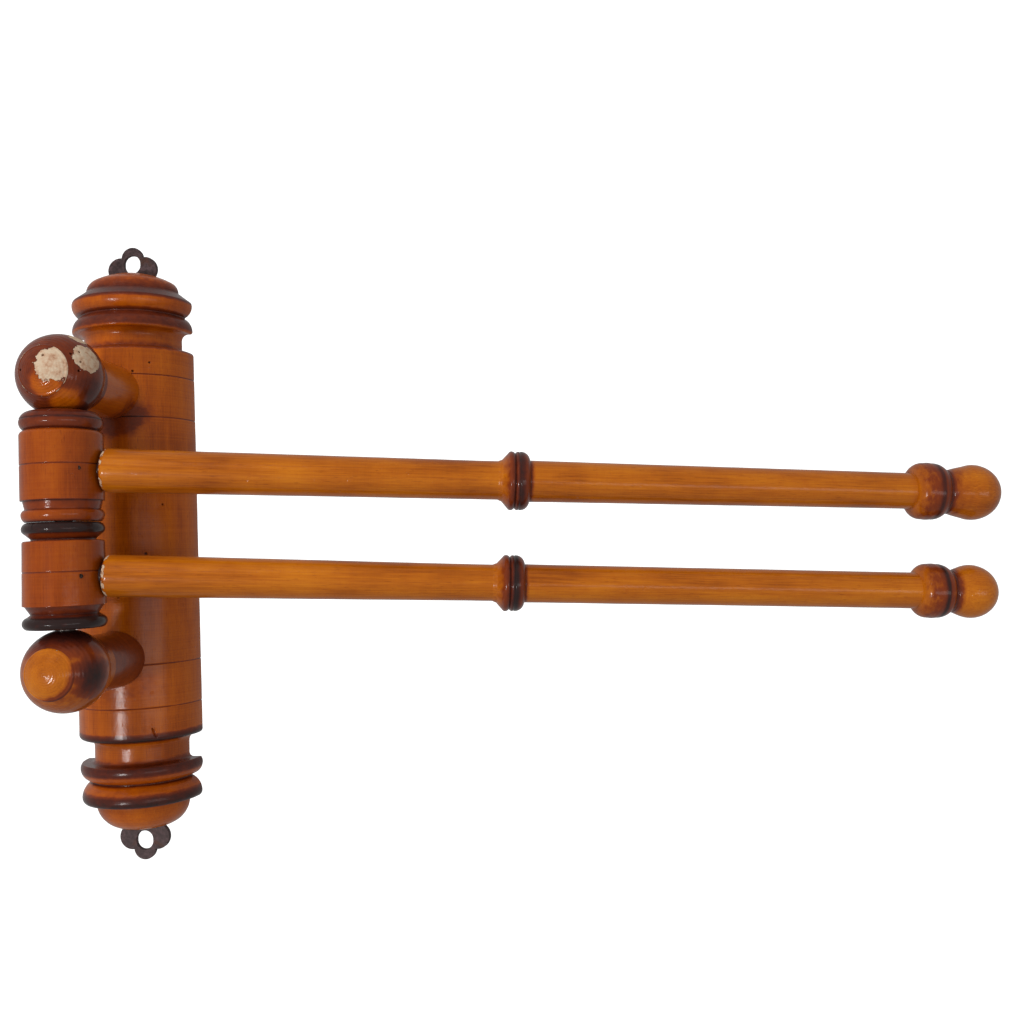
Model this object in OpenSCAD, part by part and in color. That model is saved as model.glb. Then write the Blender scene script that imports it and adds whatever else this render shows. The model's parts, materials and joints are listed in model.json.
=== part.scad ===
// Wall-mounted towel rail with two swinging arms, turned in wood
//
// A half-round post hangs flat on the wall from two pierced iron plates. Two ball-ended
// pegs stand out of it, and a steel axle between the balls carries two turned hubs, one
// above the other. Each hub holds a long turned arm, and each arm swings by itself.
//
// X runs along the wall, Y points into the wall and Z is up. The back of the post lies on
// Y = 0, and the origin is at the middle of its plain shaft.

/* [Post] */
// Diameter of the round that the post is split from
post_d = 64.4; // [58:0.2:72]
// Length of the plain shaft between the coves
shaft_length = 203.4; // [190:0.2:280]
// Diameter of the beads at both ends
bead_d = 63.8; // [56:0.2:72]
// Width of the flat at the bottom of the groove between two beads
groove_flat = 0.6; // [0.4:0.1:1]
// Rounding of the shaft's ends
shoulder_round = 2.4; // [1:0.2:4]
// Width of the scribed lines
line_width = 0.7; // [0.4:0.1:1.2]
// Depth of the scribed lines
line_depth = 0.35; // [0.2:0.05:0.8]
// Distance between the two scribed lines around each peg
line_pitch = 22; // [16:0.5:28]
// How far the lower of the upper two lines lies below the upper peg's middle
upper_line_drop = 13; // [2:0.5:16]
// How far the higher of the lower two lines lies below the lower peg's middle
lower_line_drop = 3.5; // [2:0.5:16]

/* [Top end of the post] */
// Height of the cove above the shaft
top_cove_height = 10.1; // [8:0.1:14]
// Diameter at the bottom of the cove
top_cove_d = 51.8; // [46:0.2:56]
// Height of the lower bead
top_inner_bead = 8.8; // [7:0.1:12]
// Height of the upper bead with its sloping top
top_outer_bead = 13.7; // [12:0.1:18]
// Diameter of the groove between the beads
top_groove_d = 55.8; // [52:0.2:56]
// Height of the dome
dome_height = 11.6; // [10:0.1:15]
// Diameter of the dome where it leaves the bead
dome_d = 49.2; // [46:0.2:52]

/* [Bottom end of the post] */
// Height of the cove below the shaft
bottom_cove_height = 12.6; // [9:0.1:16]
// Diameter at the bottom of the cove
bottom_cove_d = 49.6; // [46:0.2:54]
// Height of the upper bead
bottom_inner_bead = 9.4; // [8:0.1:12]
// Height of the lower bead
bottom_outer_bead = 11; // [9:0.1:14]
// Diameter of the groove between the beads
bottom_groove_d = 52.4; // [50:0.2:55]
// Height of the bowl
bowl_height = 15.3; // [12:0.1:20]
// Diameter of the bowl where it leaves the bead
bowl_d = 49.2; // [44:0.2:52]

/* [Hanging plates] */
// Thickness of the iron
plate_thickness = 2.4; // [1.5:0.1:3]
// Length of the part let into the back of the post
plate_tail = 36; // [30:1:44]
// Width of the part let into the back of the post
plate_width = 22; // [16:0.5:26]
// How far the plate stands past the wood
plate_stand = 14.6; // [13:0.1:18]
// How far the lower plate stands past the wood
lower_plate_stand = 18; // [14:0.1:22]
// Diameter of the lobe at the tip
tip_lobe_d = 12; // [11:0.2:14]
// Diameter of the two side lobes
side_lobe_d = 13.6; // [12:0.2:16]
// Distance between the side lobes' centres
side_lobe_pitch = 13.6; // [12:0.2:16]
// Distance from the tip lobe's centre to the line through the side lobes' centres
lobe_drop = 6.2; // [5:0.1:8]
// Width of the hanging hole
hole_width = 8.8; // [6:0.1:9]
// Length of the hanging hole
hole_length = 9.8; // [9.2:0.1:10.6]
// Gap between the upper hole and the end of the wood
upper_hole_start = 0.4; // [0.2:0.1:1]
// Gap between the lower hole and the end of the wood
lower_hole_start = 2.8; // [0.2:0.1:3.4]
// Wood screws in each plate: shank diameter
plate_screw_d = 3.5; // [3:0.1:4]
// Wood screws in each plate: head diameter
plate_screw_head_d = 6.8; // [6:0.1:8]
// Wood screws in each plate: length
plate_screw_length = 14; // [10:1:18]
// Distance between the two screws of a plate
plate_screw_pitch = 13; // [11:0.5:16]

/* [Pegs] */
// Distance from the wall to the axle
axle_reach = 80; // [78:0.5:100]
// Diameter of the balls
ball_d = 38.6; // [36:0.2:42]
// Diameter of the neck between ball and post
neck_d = 29; // [24:0.2:31]
// Diameter of the tenon in the post
peg_tenon_d = 16; // [12:0.5:18]
// Depth of wood left behind the tenon
tenon_web = 8; // [7:0.5:12]
// Diameter of the button on the front of the ball
button_d = 24.2; // [18:0.2:25]
// Distance from the ball's centre to the button's face
button_reach = 16; // [15:0.1:17.5]
// Rounding of the button's rim
button_round = 1.4; // [0.6:0.1:2]
// Wood screw behind each peg: shank diameter
peg_screw_d = 5; // [4:0.2:6]
// Wood screw behind each peg: head diameter
peg_screw_head_d = 9.6; // [8:0.2:11]
// Wood screw behind each peg: length
peg_screw_length = 44; // [32:1:50]

/* [Hubs] */
// Height of the lower hub's underside above the middle of the shaft
column_base = -39.2; // [-50:0.2:-36]
// Diameter of both hubs
hub_d = 36.5; // [34:0.1:42]
// Length of the upper hub
upper_hub_length = 51; // [50:0.5:60]
// Length of the lower hub
lower_hub_length = 48.4; // [48:0.2:60]
// Height of the bead and neck below the upper hub's drum
upper_foot = 9.7; // [9:0.1:11]
// Height of the crown above the upper hub's drum
upper_crown = 9.1; // [8.6:0.1:11]
// Height of the ring and neck below the lower hub's drum
lower_foot = 10.6; // [10:0.1:12]
// Height of the ring and neck above the lower hub's drum
lower_crown = 8.2; // [7.8:0.1:10]
// Depth of the dish in the upper hub's top, where the ball sits
dish_depth = 2.8; // [1:0.1:3.2]
// Height of each arm's axis above the hub's underside
arm_height = 24.4; // [23:0.1:27]
// Height of each hub's scribed line above its underside
hub_line_height = 26; // [24:0.1:28]
// End play between a ball and a hub, and between the hubs
end_play = 0.4; // [0.3:0.05:0.8]

/* [Axle] */
// Diameter of the rod
axle_d = 8; // [6:0.5:10]
// How far the rod goes into each ball
axle_depth = 14; // [8:0.5:18]
// Radial clearance of the rod in the hubs
running_gap = 0.08; // [0.02:0.01:0.1]

/* [Arms] */
// Distance from the axle to the middle of the upper arm's end ball
upper_arm_length = 435.5; // [360:0.5:530]
// Distance from the axle to the middle of the lower arm's end ball
lower_arm_length = 432.6; // [360:0.5:530]
// Distance from the upper arm's end ball back to its end collar
upper_tip_length = 23.2; // [20:0.2:40]
// Distance from the lower arm's end ball back to its end collar
lower_tip_length = 19.8; // [19:0.2:40]
// Distance from the axle to the upper arm's middle collar
upper_collar_at = 208; // [150:0.5:260]
// Distance from the axle to the lower arm's middle collar
lower_collar_at = 203.8; // [150:0.5:260]
// Diameter of the upper arm at the hub
upper_root_d = 20.8; // [18:0.1:23]
// Diameter of the lower arm at the hub
lower_root_d = 19.9; // [18:0.1:23]
// Diameter of the upper arm before its middle collar
upper_waist_d = 18.6; // [16:0.1:20]
// Diameter of the lower arm before its middle collar
lower_waist_d = 17.4; // [16:0.1:20]
// Diameter of the upper arm just past its middle collar
upper_outer_d = 20; // [17:0.1:20.6]
// Diameter of the lower arm just past its middle collar
lower_outer_d = 18.4; // [17:0.1:20.6]
// Diameter of both arms before the end collar
arm_tip_d = 17.8; // [16:0.1:20]
// Diameter of the upper arm's collars
upper_collar_d = 28.4; // [26:0.2:32]
// Diameter of the lower arm's collars
lower_collar_d = 27; // [26:0.2:32]
// Diameter of the upper arm's end ball
upper_end_ball_d = 27.4; // [24:0.2:32]
// Diameter of the lower arm's end ball
lower_end_ball_d = 26.4; // [24:0.2:32]
// Rounding of the arm where it meets the hub
root_round = 3; // [1:0.2:5]
// Diameter of the arm's tenon
arm_tenon_d = 12; // [9:0.5:14]
// Wood left between an arm's tenon and the axle
tenon_wall = 2.4; // [1.5:0.1:4]
// How far the arms droop from square to the axle
arm_droop = 3.2; // [0:0.1:5]
// Gap left at the wall when an arm is folded back
wall_gap = 0.5; // [0.3:0.1:3]
// Diameter of the brad that locks an arm's tenon
brad_d = 2; // [1.4:0.1:2.6]
// Distance from the axle to the brad
brad_at = 11.7; // [9.5:0.1:13]

/* [Turned details of the post] */
// Radius of the corner between the shaft and the top cove
top_cove_start_round = 2; // [1:0.1:3]
// Radius of the corner between the top cove and its bead
top_cove_end_round = 3.6; // [2:0.1:4]
// Radius of the corner between the shaft and the bottom cove
bottom_cove_start_round = 4; // [2:0.1:5]
// Radius of the corner between the bottom cove and its bead
bottom_cove_end_round = 2.2; // [1:0.1:3]
// Place of the crest on the top's lower bead, as a share of its height
top_inner_crest_share = 0.14; // [0.1:0.01:0.2]
// Place of the crest on the top's upper bead, as a share of its height
top_outer_crest_share = 0.47; // [0.4:0.01:0.5]
// Length of the crest before the sloping top, as a share of the bead's height
slope_start_share = 0.15; // [0.12:0.01:0.2]
// How far the sloping top starts inside the bead
slope_start_step = 0.6; // [0.4:0.1:0.8]
// Place of the crest on the bottom's upper bead, as a share of its height
bottom_inner_crest_share = 0.28; // [0.2:0.01:0.35]
// Place of the crest on the bottom's lower bead, as a share of its height
bottom_outer_crest_share = 0.77; // [0.7:0.01:0.8]
// How far the bottom's upper bead is turned down at the cove
bottom_inner_step = 0.9; // [0.6:0.1:1.2]
// How much smaller in radius the bottom's lower bead is
bottom_outer_step = 0.6; // [0.4:0.1:1]
// How far the bottom's lower bead is turned down at the bowl
bowl_bead_step = 1.2; // [0.8:0.1:1.6]
// Radius of the dome's shoulder, as a share of its height
dome_shoulder_share = 0.6; // [0.5:0.05:0.7]

/* [Turned details of the pegs] */
// How far the neck tapers towards the ball, on the radius
neck_taper = 0.5; // [0:0.1:1]
// Radius of the groove around the button
button_groove_r = 0.8; // [0.5:0.1:1]
// Depth of the button's groove behind the button's face
button_groove_at = 3.1; // [3:0.1:3.4]

/* [Turned details of the hubs] */
// How far a ring at the end of a hub is rounded down
ring_round = 1.7; // [1.2:0.1:2]
// How much smaller in radius the beads are than the drum
ring_step = 0.3; // [0.2:0.1:0.5]
// Depth of the upper hub's groove below the drum
foot_groove_depth = 1.9; // [1.6:0.1:2.2]
// Depth of the step below each drum
drum_step = 1; // [0.8:0.1:1.2]
// Height of the rounding at the top of the upper drum
drum_round = 2.4; // [1.6:0.1:2.6]
// Depth of the groove above the upper drum
crown_groove_depth = 2.2; // [1.8:0.1:2.6]
// Distance of the scribed line from the crest of the upper crown
crown_line_at = 1.2; // [1:0.1:1.4]
// Depth of the neck at the edge of the lower hub's rings
ring_edge_depth = 2; // [1.7:0.1:2.3]
// Depth of the lower hub's neck below the drum
foot_neck_depth = 3.6; // [3:0.1:4.2]
// Depth of the lower hub's neck above the drum
crown_neck_depth = 4.2; // [3.6:0.1:5]
// Depth to which the lower hub's crown flares under its ring
crown_flare_depth = 1.6; // [1.4:0.1:2]
// How much smaller in radius the lower drum is at its foot
lower_drum_step = 0.1; // [0:0.1:0.4]
// How much smaller in radius the lower drum is at its top
lower_drum_top_step = 0.5; // [0.3:0.1:0.8]

/* [Turned details of the arms] */
// Length of the flare before the middle collar's crest
flare_length = 6.5; // [6:0.1:8]
// Length of the steeper part of the flare
steep_flare_length = 4.3; // [3.6:0.1:5]
// Height of the flare's first rise
flare_rise = 0.8; // [0.5:0.1:1.2]
// Length of the middle collar's rounding before its crest
collar_round_length = 1.6; // [1.4:0.1:2]
// Depth of the rounding before the crest
collar_round_depth = 1; // [0.8:0.1:1.2]
// Length from the crest to the notch behind it
notch_length = 1.8; // [1.6:0.1:2]
// Depth of the notch
notch_depth = 1.1; // [0.9:0.1:1.3]
// Length from the notch to the double bead
notch_to_bead = 1.4; // [1.2:0.1:1.6]
// Length of the double bead
double_bead_length = 1.4; // [1.2:0.1:1.6]
// Length of the shoulder behind the double bead
collar_shoulder_length = 4.2; // [3.6:0.1:5]
// Height of the shoulder behind the double bead
collar_shoulder_depth = 3.4; // [3:0.1:4]
// Length of the end collar on each side of its middle
end_collar_half = 2.5; // [2:0.1:3]
// Length of the end collar's rounded foot
end_foot_length = 5.4; // [4.8:0.1:6]
// Height of the end collar's rounded foot
end_foot_depth = 4.2; // [3.6:0.1:4.6]
// How much smaller in radius the double bead and the edges of the end collar are
collar_edge_step = 0.1; // [0.1:0.1:0.4]
// How much smaller in radius the end collar is at both of its edges
end_collar_step = 0.2; // [0.1:0.1:0.4]
// Length from the end collar to the throat
throat_fall = 6.2; // [5.6:0.1:7]
// Length of the throat
throat_length = 2; // [1.6:0.1:2.4]
// Radius of the throat, as a share of the end ball's
throat_share = 0.8; // [0.7:0.01:0.85]
// Distance before the ball's middle at which the throat's flare meets it, as a share of its radius
flank_share = 0.33; // [0.3:0.01:0.4]

/* [Hidden] */

$fn = 96;
post_r = post_d / 2;
bead_r = bead_d / 2;
ball_r = ball_d / 2;
neck_r = neck_d / 2;
hub_r = hub_d / 2;
axle_r = axle_d / 2;
brad_r = brad_d / 2;

// Stations up and down the post
shaft_top = shaft_length / 2;
top_cove_end = shaft_top + top_cove_height;
top_groove_at = top_cove_end + top_inner_bead;
dome_base = top_groove_at + top_outer_bead;
post_top = dome_base + dome_height;
bottom_cove_end = -shaft_top - bottom_cove_height;
bottom_groove_at = bottom_cove_end - bottom_inner_bead;
bowl_base = bottom_groove_at - bottom_outer_bead;
post_bottom = bowl_base - bowl_height;

// Stations up the column of hubs
lower_peg_z = column_base - end_play - ball_r;
lower_hub_z = column_base;
upper_hub_z = lower_hub_z + lower_hub_length + end_play;
// The upper ball sits in its dish, but its neck stays clear of the hub's rim
upper_peg_z = upper_hub_z + upper_hub_length + end_play + max(ball_r - dish_depth, neck_r);

// Angle by which a folded arm leans back, so that its end ball just clears the wall
function fold(reach, end_ball_d) =
    asin((axle_reach - end_ball_d / 2 - wall_gap) / (reach * cos(arm_droop)));
upper_fold = fold(upper_arm_length, upper_end_ball_d);
lower_fold = fold(lower_arm_length, lower_end_ball_d);

// ---------------------------------------------------------------- turned profiles

// A curve from a crest to an edge: full at crest_at, falling to edge_radius at edge_at.
// A curve that is less than a quarter round runs in a little under its edge.
module half_bead(crest_at, edge_at, crest_radius, edge_radius) {
    rise = abs(edge_at - crest_at);
    drop = crest_radius - edge_radius;
    fall = drop < 0.95 * rise ? drop + 0.05 : drop;
    sweep = round(500 * (rise * rise + fall * fall) / fall) / 1000;
    low = min(crest_at, edge_at);
    translate([0, low])
        square([edge_radius, rise]);
    intersection() {
        translate([crest_radius - sweep, crest_at])
            circle(r = sweep);
        translate([0, low])
            square([crest_radius + 1, rise]);
    }
}

// A plain or tapered length of turning
module taper(from, to, from_radius, to_radius) {
    polygon([[0, from], [from_radius, from], [to_radius, to], [0, to]]);
}

// The hollow corner where a neck meets a wider face
module neck_fillet(neck_radius, face_at, size, side) {
    difference() {
        translate([neck_radius - 0.01, side > 0 ? face_at : face_at - size])
            square(size);
        translate([neck_radius + size, face_at + side * size])
            circle(r = size);
    }
}

// The V that a scribed line cuts
module scribe(at, radius) {
    polygon([
        [radius - line_depth, at],
        [radius + 0.5, at - line_width / 2 - 0.5],
        [radius + 0.5, at + line_width / 2 + 0.5]
    ]);
}

module post_top_profile() {
    cove_r = top_cove_d / 2;
    groove_r = top_groove_d / 2;
    dome_r = dome_d / 2;
    slope_r = bead_r - slope_start_step;
    inner_crest = top_cove_end + top_inner_crest_share * top_inner_bead;
    outer_crest = top_groove_at + top_outer_crest_share * top_outer_bead;
    slope_start = outer_crest + slope_start_share * top_outer_bead;
    groove_low = top_groove_at - groove_flat / 2;
    groove_high = top_groove_at + groove_flat / 2;
    taper(shaft_top - 1, top_cove_end + 1, cove_r, cove_r);
    neck_fillet(cove_r, shaft_top, top_cove_start_round, 1);
    neck_fillet(cove_r, top_cove_end, top_cove_end_round, -1);
    half_bead(inner_crest, top_cove_end, bead_r, bead_r - inner_crest + top_cove_end);
    half_bead(inner_crest, groove_low, bead_r, groove_r);
    taper(groove_low, groove_high, groove_r, groove_r);
    half_bead(outer_crest, groove_high, bead_r, groove_r);
    half_bead(outer_crest, slope_start, bead_r, slope_r);
    taper(slope_start, dome_base, slope_r, dome_r);
    dome_profile(dome_r);
}

// A low crown that turns over into a tighter shoulder
module dome_profile(dome_r) {
    turn_r = dome_shoulder_share * dome_height;
    turn_at = dome_r - turn_r;
    crown_r = (turn_at * turn_at + dome_height * dome_height - turn_r * turn_r)
        / (2 * (dome_height - turn_r));
    meet_at = turn_at * crown_r / (crown_r - turn_r);
    intersection() {
        translate([0, post_top - crown_r])
            circle(r = crown_r);
        translate([0, dome_base])
            square([meet_at, dome_height + 1]);
    }
    intersection() {
        translate([turn_at, dome_base])
            circle(r = turn_r);
        translate([turn_at, dome_base])
            square(turn_r + 1);
    }
}

module post_bottom_profile() {
    cove_r = bottom_cove_d / 2;
    groove_r = bottom_groove_d / 2;
    bowl_r = bowl_d / 2;
    outer_r = bead_r - bottom_outer_step;
    inner_crest = bottom_cove_end - bottom_inner_crest_share * bottom_inner_bead;
    outer_crest = bottom_groove_at - bottom_outer_crest_share * bottom_outer_bead;
    groove_low = bottom_groove_at - groove_flat / 2;
    groove_high = bottom_groove_at + groove_flat / 2;
    taper(bottom_cove_end - 1, 1 - shaft_top, cove_r, cove_r);
    neck_fillet(cove_r, -shaft_top, bottom_cove_start_round, -1);
    neck_fillet(cove_r, bottom_cove_end, bottom_cove_end_round, 1);
    half_bead(inner_crest, bottom_cove_end, bead_r, bead_r - bottom_inner_step);
    half_bead(inner_crest, groove_high, bead_r, groove_r);
    taper(groove_low, groove_high, groove_r, groove_r);
    half_bead(outer_crest, groove_low, outer_r, groove_r);
    half_bead(outer_crest, bowl_base, outer_r, outer_r - bowl_bead_step);
    half_bead(bowl_base, post_bottom, bowl_r, bowl_r - bowl_height);
}

module shaft_profile() {
    translate([0, shoulder_round - shaft_top])
        square([post_r, shaft_length - 2 * shoulder_round]);
    half_bead(shaft_top - shoulder_round, shaft_top, post_r, post_r - shoulder_round);
    half_bead(shoulder_round - shaft_top, -shaft_top, post_r, post_r - shoulder_round);
}

module post_profile() {
    difference() {
        union() {
            shaft_profile();
            post_top_profile();
            post_bottom_profile();
        }
        scribe(upper_peg_z - upper_line_drop + line_pitch, post_r);
        scribe(upper_peg_z - upper_line_drop, post_r);
        scribe(lower_peg_z - lower_line_drop, post_r);
        scribe(lower_peg_z - lower_line_drop - line_pitch, post_r);
    }
}

// The front of a peg: neck, ball and button, with the height counted from the wall
module knob_profile() {
    rim_at = axle_reach + button_reach;
    button_r = button_d / 2;
    difference() {
        union() {
            taper(0, axle_reach, neck_r, neck_r - neck_taper);
            intersection() {
                translate([0, axle_reach])
                    circle(r = ball_r);
                translate([0, axle_reach - ball_r])
                    square([ball_r, 2 * ball_r]);
            }
            taper(axle_reach, rim_at - button_round, button_r, button_r);
            half_bead(rim_at - button_round, rim_at, button_r, button_r - button_round);
        }
        translate([button_r + button_groove_r + 0.1, rim_at - button_groove_at])
            circle(r = button_groove_r);
    }
}

module upper_hub_profile() {
    bead_r = hub_r - ring_step;
    groove_r = hub_r - foot_groove_depth;
    neck_r = hub_r - crown_groove_depth;
    drum_top = upper_hub_length - upper_crown;
    bead_at = 0.34 * upper_foot;
    groove_at = 0.59 * upper_foot;
    crown_at = upper_hub_length - 0.57 * upper_crown;
    difference() {
        union() {
            half_bead(bead_at, 0, bead_r, hub_r - ring_round);
            half_bead(bead_at, groove_at, bead_r, groove_r);
            taper(groove_at, upper_foot, groove_r, hub_r - drum_step);
            taper(upper_foot, drum_top - drum_round, hub_r, hub_r);
            half_bead(drum_top - drum_round, drum_top, hub_r, neck_r);
            half_bead(crown_at, drum_top, hub_r, neck_r);
            half_bead(crown_at, upper_hub_length, hub_r, hub_r - upper_hub_length + crown_at);
        }
        scribe(hub_line_height, hub_r);
        scribe(crown_at + crown_line_at, hub_r - 0.1);
    }
}

module lower_hub_profile() {
    ring_edge_r = hub_r - ring_edge_depth;
    foot_neck_r = hub_r - foot_neck_depth;
    crown_neck_r = hub_r - crown_neck_depth;
    flare_r = hub_r - crown_flare_depth;
    drum_top_r = hub_r - lower_drum_top_step;
    drum_top = lower_hub_length - lower_crown;
    foot_ring_at = 0.26 * lower_foot;
    foot_ring_end = 0.52 * lower_foot;
    foot_groove_at = 0.63 * lower_foot;
    crown_ring_at = lower_hub_length - 0.35 * lower_crown;
    crown_ring_end = lower_hub_length - 0.62 * lower_crown;
    crown_groove_at = drum_top + 0.1 * lower_crown;
    difference() {
        union() {
            half_bead(foot_ring_at, 0, hub_r, hub_r - ring_round);
            half_bead(foot_ring_at, foot_ring_end, hub_r, ring_edge_r);
            taper(foot_ring_end, foot_groove_at, ring_edge_r, foot_neck_r);
            taper(foot_groove_at, lower_foot, foot_neck_r, hub_r - drum_step);
            taper(lower_foot, drum_top - drum_step, hub_r - lower_drum_step, drum_top_r);
            half_bead(drum_top - drum_step, drum_top, drum_top_r, drum_top_r - drum_step);
            taper(drum_top, crown_groove_at, crown_neck_r, crown_neck_r);
            taper(crown_groove_at, crown_ring_end, crown_neck_r, flare_r);
            half_bead(crown_ring_at, crown_ring_end, hub_r - ring_step, flare_r);
            half_bead(crown_ring_at, lower_hub_length, hub_r - ring_step, ring_edge_r);
        }
        scribe(hub_line_height, hub_r - ring_step);
    }
}

// One arm along its own axis, counted from the axle
module arm_profile(root_d, waist_d, outer_d, collar_at, collar_d, reach, tip, end_ball_d) {
    waist_r = waist_d / 2;
    collar_r = collar_d / 2;
    edge_r = collar_r - collar_edge_step;
    notch_r = collar_r - notch_depth;
    flare_at = collar_at - collar_round_length;
    notch_at = collar_at + notch_length;
    bead_at = notch_at + notch_to_bead;
    bead_end = bead_at + double_bead_length;
    shoulder_end = bead_end + collar_shoulder_length;
    end_r = end_ball_d / 2;
    end_edge_r = collar_r - end_collar_step;
    end_collar_at = reach - tip;
    end_collar_foot = end_collar_at - end_collar_half;
    end_foot_at = end_collar_foot - end_foot_length;
    end_collar_crest = end_collar_at + end_collar_half;
    throat_at = end_collar_crest + throat_fall;
    throat_end = throat_at + throat_length;
    throat_r = throat_share * end_r;
    flank_at = reach - flank_share * end_r;
    flank_r = round(1000 * end_r * sqrt(1 - flank_share * flank_share)) / 1000;
    difference() {
        union() {
            taper(axle_r + running_gap + tenon_wall, hub_r + 4, arm_tenon_d / 2, arm_tenon_d / 2);
            half_bead(hub_r + root_round, hub_r, root_d / 2, root_d / 2 - root_round);
            taper(hub_r + root_round, collar_at - flare_length, root_d / 2, waist_r);
            taper(collar_at - flare_length, collar_at - steep_flare_length,
                waist_r, waist_r + flare_rise);
            taper(collar_at - steep_flare_length, flare_at,
                waist_r + flare_rise, collar_r - collar_round_depth);
            half_bead(collar_at, flare_at, collar_r, collar_r - collar_round_depth);
            half_bead(collar_at, notch_at, collar_r, notch_r);
            half_bead(bead_at, notch_at, edge_r, notch_r);
            taper(bead_at, bead_end, edge_r, edge_r);
            half_bead(bead_end, shoulder_end, edge_r, edge_r - collar_shoulder_depth);
            taper(shoulder_end, end_foot_at, outer_d / 2, arm_tip_d / 2);
            half_bead(end_collar_foot, end_foot_at, end_edge_r, end_edge_r - end_foot_depth);
            taper(end_collar_foot, end_collar_at, end_edge_r, collar_r);
            taper(end_collar_at, end_collar_crest, collar_r, end_edge_r);
            half_bead(end_collar_crest, throat_at, end_edge_r, throat_r);
            taper(throat_at, throat_end, throat_r, throat_r);
            taper(throat_end, flank_at, throat_r, flank_r);
            intersection() {
                translate([0, reach])
                    circle(r = end_r);
                translate([0, reach - end_r])
                    square([end_r, 2 * end_r]);
            }
        }
        scribe((bead_at + bead_end) / 2, edge_r);
        scribe((throat_at + throat_end) / 2, throat_r);
    }
}

// ---------------------------------------------------------------- placing helpers

// Turns what is drawn upright so that it points out from the wall
module out_from_wall(z) {
    translate([0, 0, z])
        rotate([90, 0, 0])
            children();
}

// The place of a hub: its underside at the given height, turned back by the fold angle
module on_axle(z, fold_angle) {
    translate([0, -axle_reach, z])
        rotate([0, 0, fold_angle])
            children();
}

// The place of an arm in its hub's own frame
module along_arm() {
    translate([0, 0, arm_height])
        rotate([0, 90 + arm_droop, 0])
            children();
}

// A countersunk wood screw, head up to z = 0 and shank up into the wood
module wood_screw(shank_d, head_d, length) {
    head_height = (head_d - shank_d) / 2;
    cylinder(h = head_height, r1 = head_d / 2, r2 = shank_d / 2);
    cylinder(h = length - shank_d, r = shank_d / 2);
    translate([0, 0, length - shank_d])
        cylinder(h = shank_d, r1 = shank_d / 2, r2 = 0.3);
}

module slotted_screw(shank_d, head_d, length) {
    difference() {
        wood_screw(shank_d, head_d, length);
        translate([0, 0, 0.4])
            cube([head_d + 1, 1, 1.6], center = true);
    }
}

// ---------------------------------------------------------------- hanging plates

// The outline seen from the front, tip up, with the end of the wood at height 0
module hanger_outline(stand) {
    tip_at = stand - tip_lobe_d / 2;
    side_at = tip_at - lobe_drop;
    translate([0, tip_at])
        circle(d = tip_lobe_d);
    for (side = [-1, 1])
        translate([side * side_lobe_pitch / 2, side_at])
            circle(d = side_lobe_d);
    translate([-tip_lobe_d / 2, side_at])
        square([tip_lobe_d, lobe_drop]);
    translate([-plate_width / 2, -plate_tail])
        square([plate_width, plate_tail + side_at]);
}

// The hole starts just past the wood
module hanger_hole(start) {
    low_at = start + hole_width / 2;
    translate([0, low_at])
        circle(d = hole_width);
    translate([0, low_at + hole_length - hole_width])
        circle(d = hole_width);
    translate([-hole_width / 2, low_at])
        square([hole_width, hole_length - hole_width]);
}

// Heights of a plate's screws, counted from the end of the wood
function plate_screw_at(n) = -plate_tail + 8 + n * plate_screw_pitch;

module hanger(stand, hole_start) {
    difference() {
        out_from_wall(0)
            linear_extrude(plate_thickness)
                difference() {
                    hanger_outline(stand);
                    hanger_hole(hole_start);
                }
        plate_screws(false);
    }
}

module plate_screws(slotted) {
    for (n = [0, 1])
        out_from_wall(plate_screw_at(n))
            if (slotted)
                slotted_screw(plate_screw_d, plate_screw_head_d, plate_screw_length);
            else
                wood_screw(plate_screw_d, plate_screw_head_d, plate_screw_length);
}

// Puts a plate's parts at the top of the post, or upside down at the bottom
module at_top() {
    translate([0, 0, post_top])
        children();
}

module at_bottom() {
    translate([0, 0, post_bottom])
        rotate([0, 180, 0])
            children();
}

// The recess in the back of the post
module plate_recess(stand) {
    out_from_wall(0)
        linear_extrude(plate_thickness)
            hanger_outline(stand);
}

module upper_hanger() {
    color("dimgray")
        at_top()
            hanger(plate_stand, upper_hole_start);
}

module lower_hanger() {
    color("dimgray")
        at_bottom()
            hanger(lower_plate_stand, lower_hole_start);
}

module upper_hanger_screws() {
    color("gray")
        at_top()
            plate_screws(true);
}

module lower_hanger_screws() {
    color("gray")
        at_bottom()
            plate_screws(true);
}

// ---------------------------------------------------------------- post and pegs

module wall_post() {
    color("peru")
        difference() {
            rotate([0, 0, 180])
                rotate_extrude(angle = 180)
                    post_profile();
            at_top()
                plate_recess(plate_stand);
            at_bottom()
                plate_recess(lower_plate_stand);
            at_top()
                plate_screws(false);
            at_bottom()
                plate_screws(false);
            for (z = [upper_peg_z, lower_peg_z])
                out_from_wall(z) {
                    translate([0, 0, tenon_web])
                        cylinder(h = post_r, d = peg_tenon_d);
                    wood_screw(peg_screw_d, peg_screw_head_d, peg_screw_length);
                }
        }
}

// A peg with its blind axle hole and the hole for its screw
module peg(z) {
    difference() {
        union() {
            difference() {
                out_from_wall(z)
                    rotate_extrude()
                        knob_profile();
                translate([0, 0, z])
                    cylinder(h = ball_d, r = post_r, center = true);
            }
            out_from_wall(z)
                translate([0, 0, tenon_web])
                    cylinder(h = post_r, d = peg_tenon_d);
        }
        out_from_wall(z)
            wood_screw(peg_screw_d, peg_screw_head_d, peg_screw_length);
        axle();
    }
}

module upper_peg() {
    color("sienna")
        peg(upper_peg_z);
}

module lower_peg() {
    color("sienna")
        peg(lower_peg_z);
}

module upper_peg_screw() {
    color("gray")
        out_from_wall(upper_peg_z)
            slotted_screw(peg_screw_d, peg_screw_head_d, peg_screw_length);
}

module lower_peg_screw() {
    color("gray")
        out_from_wall(lower_peg_z)
            slotted_screw(peg_screw_d, peg_screw_head_d, peg_screw_length);
}

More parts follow.
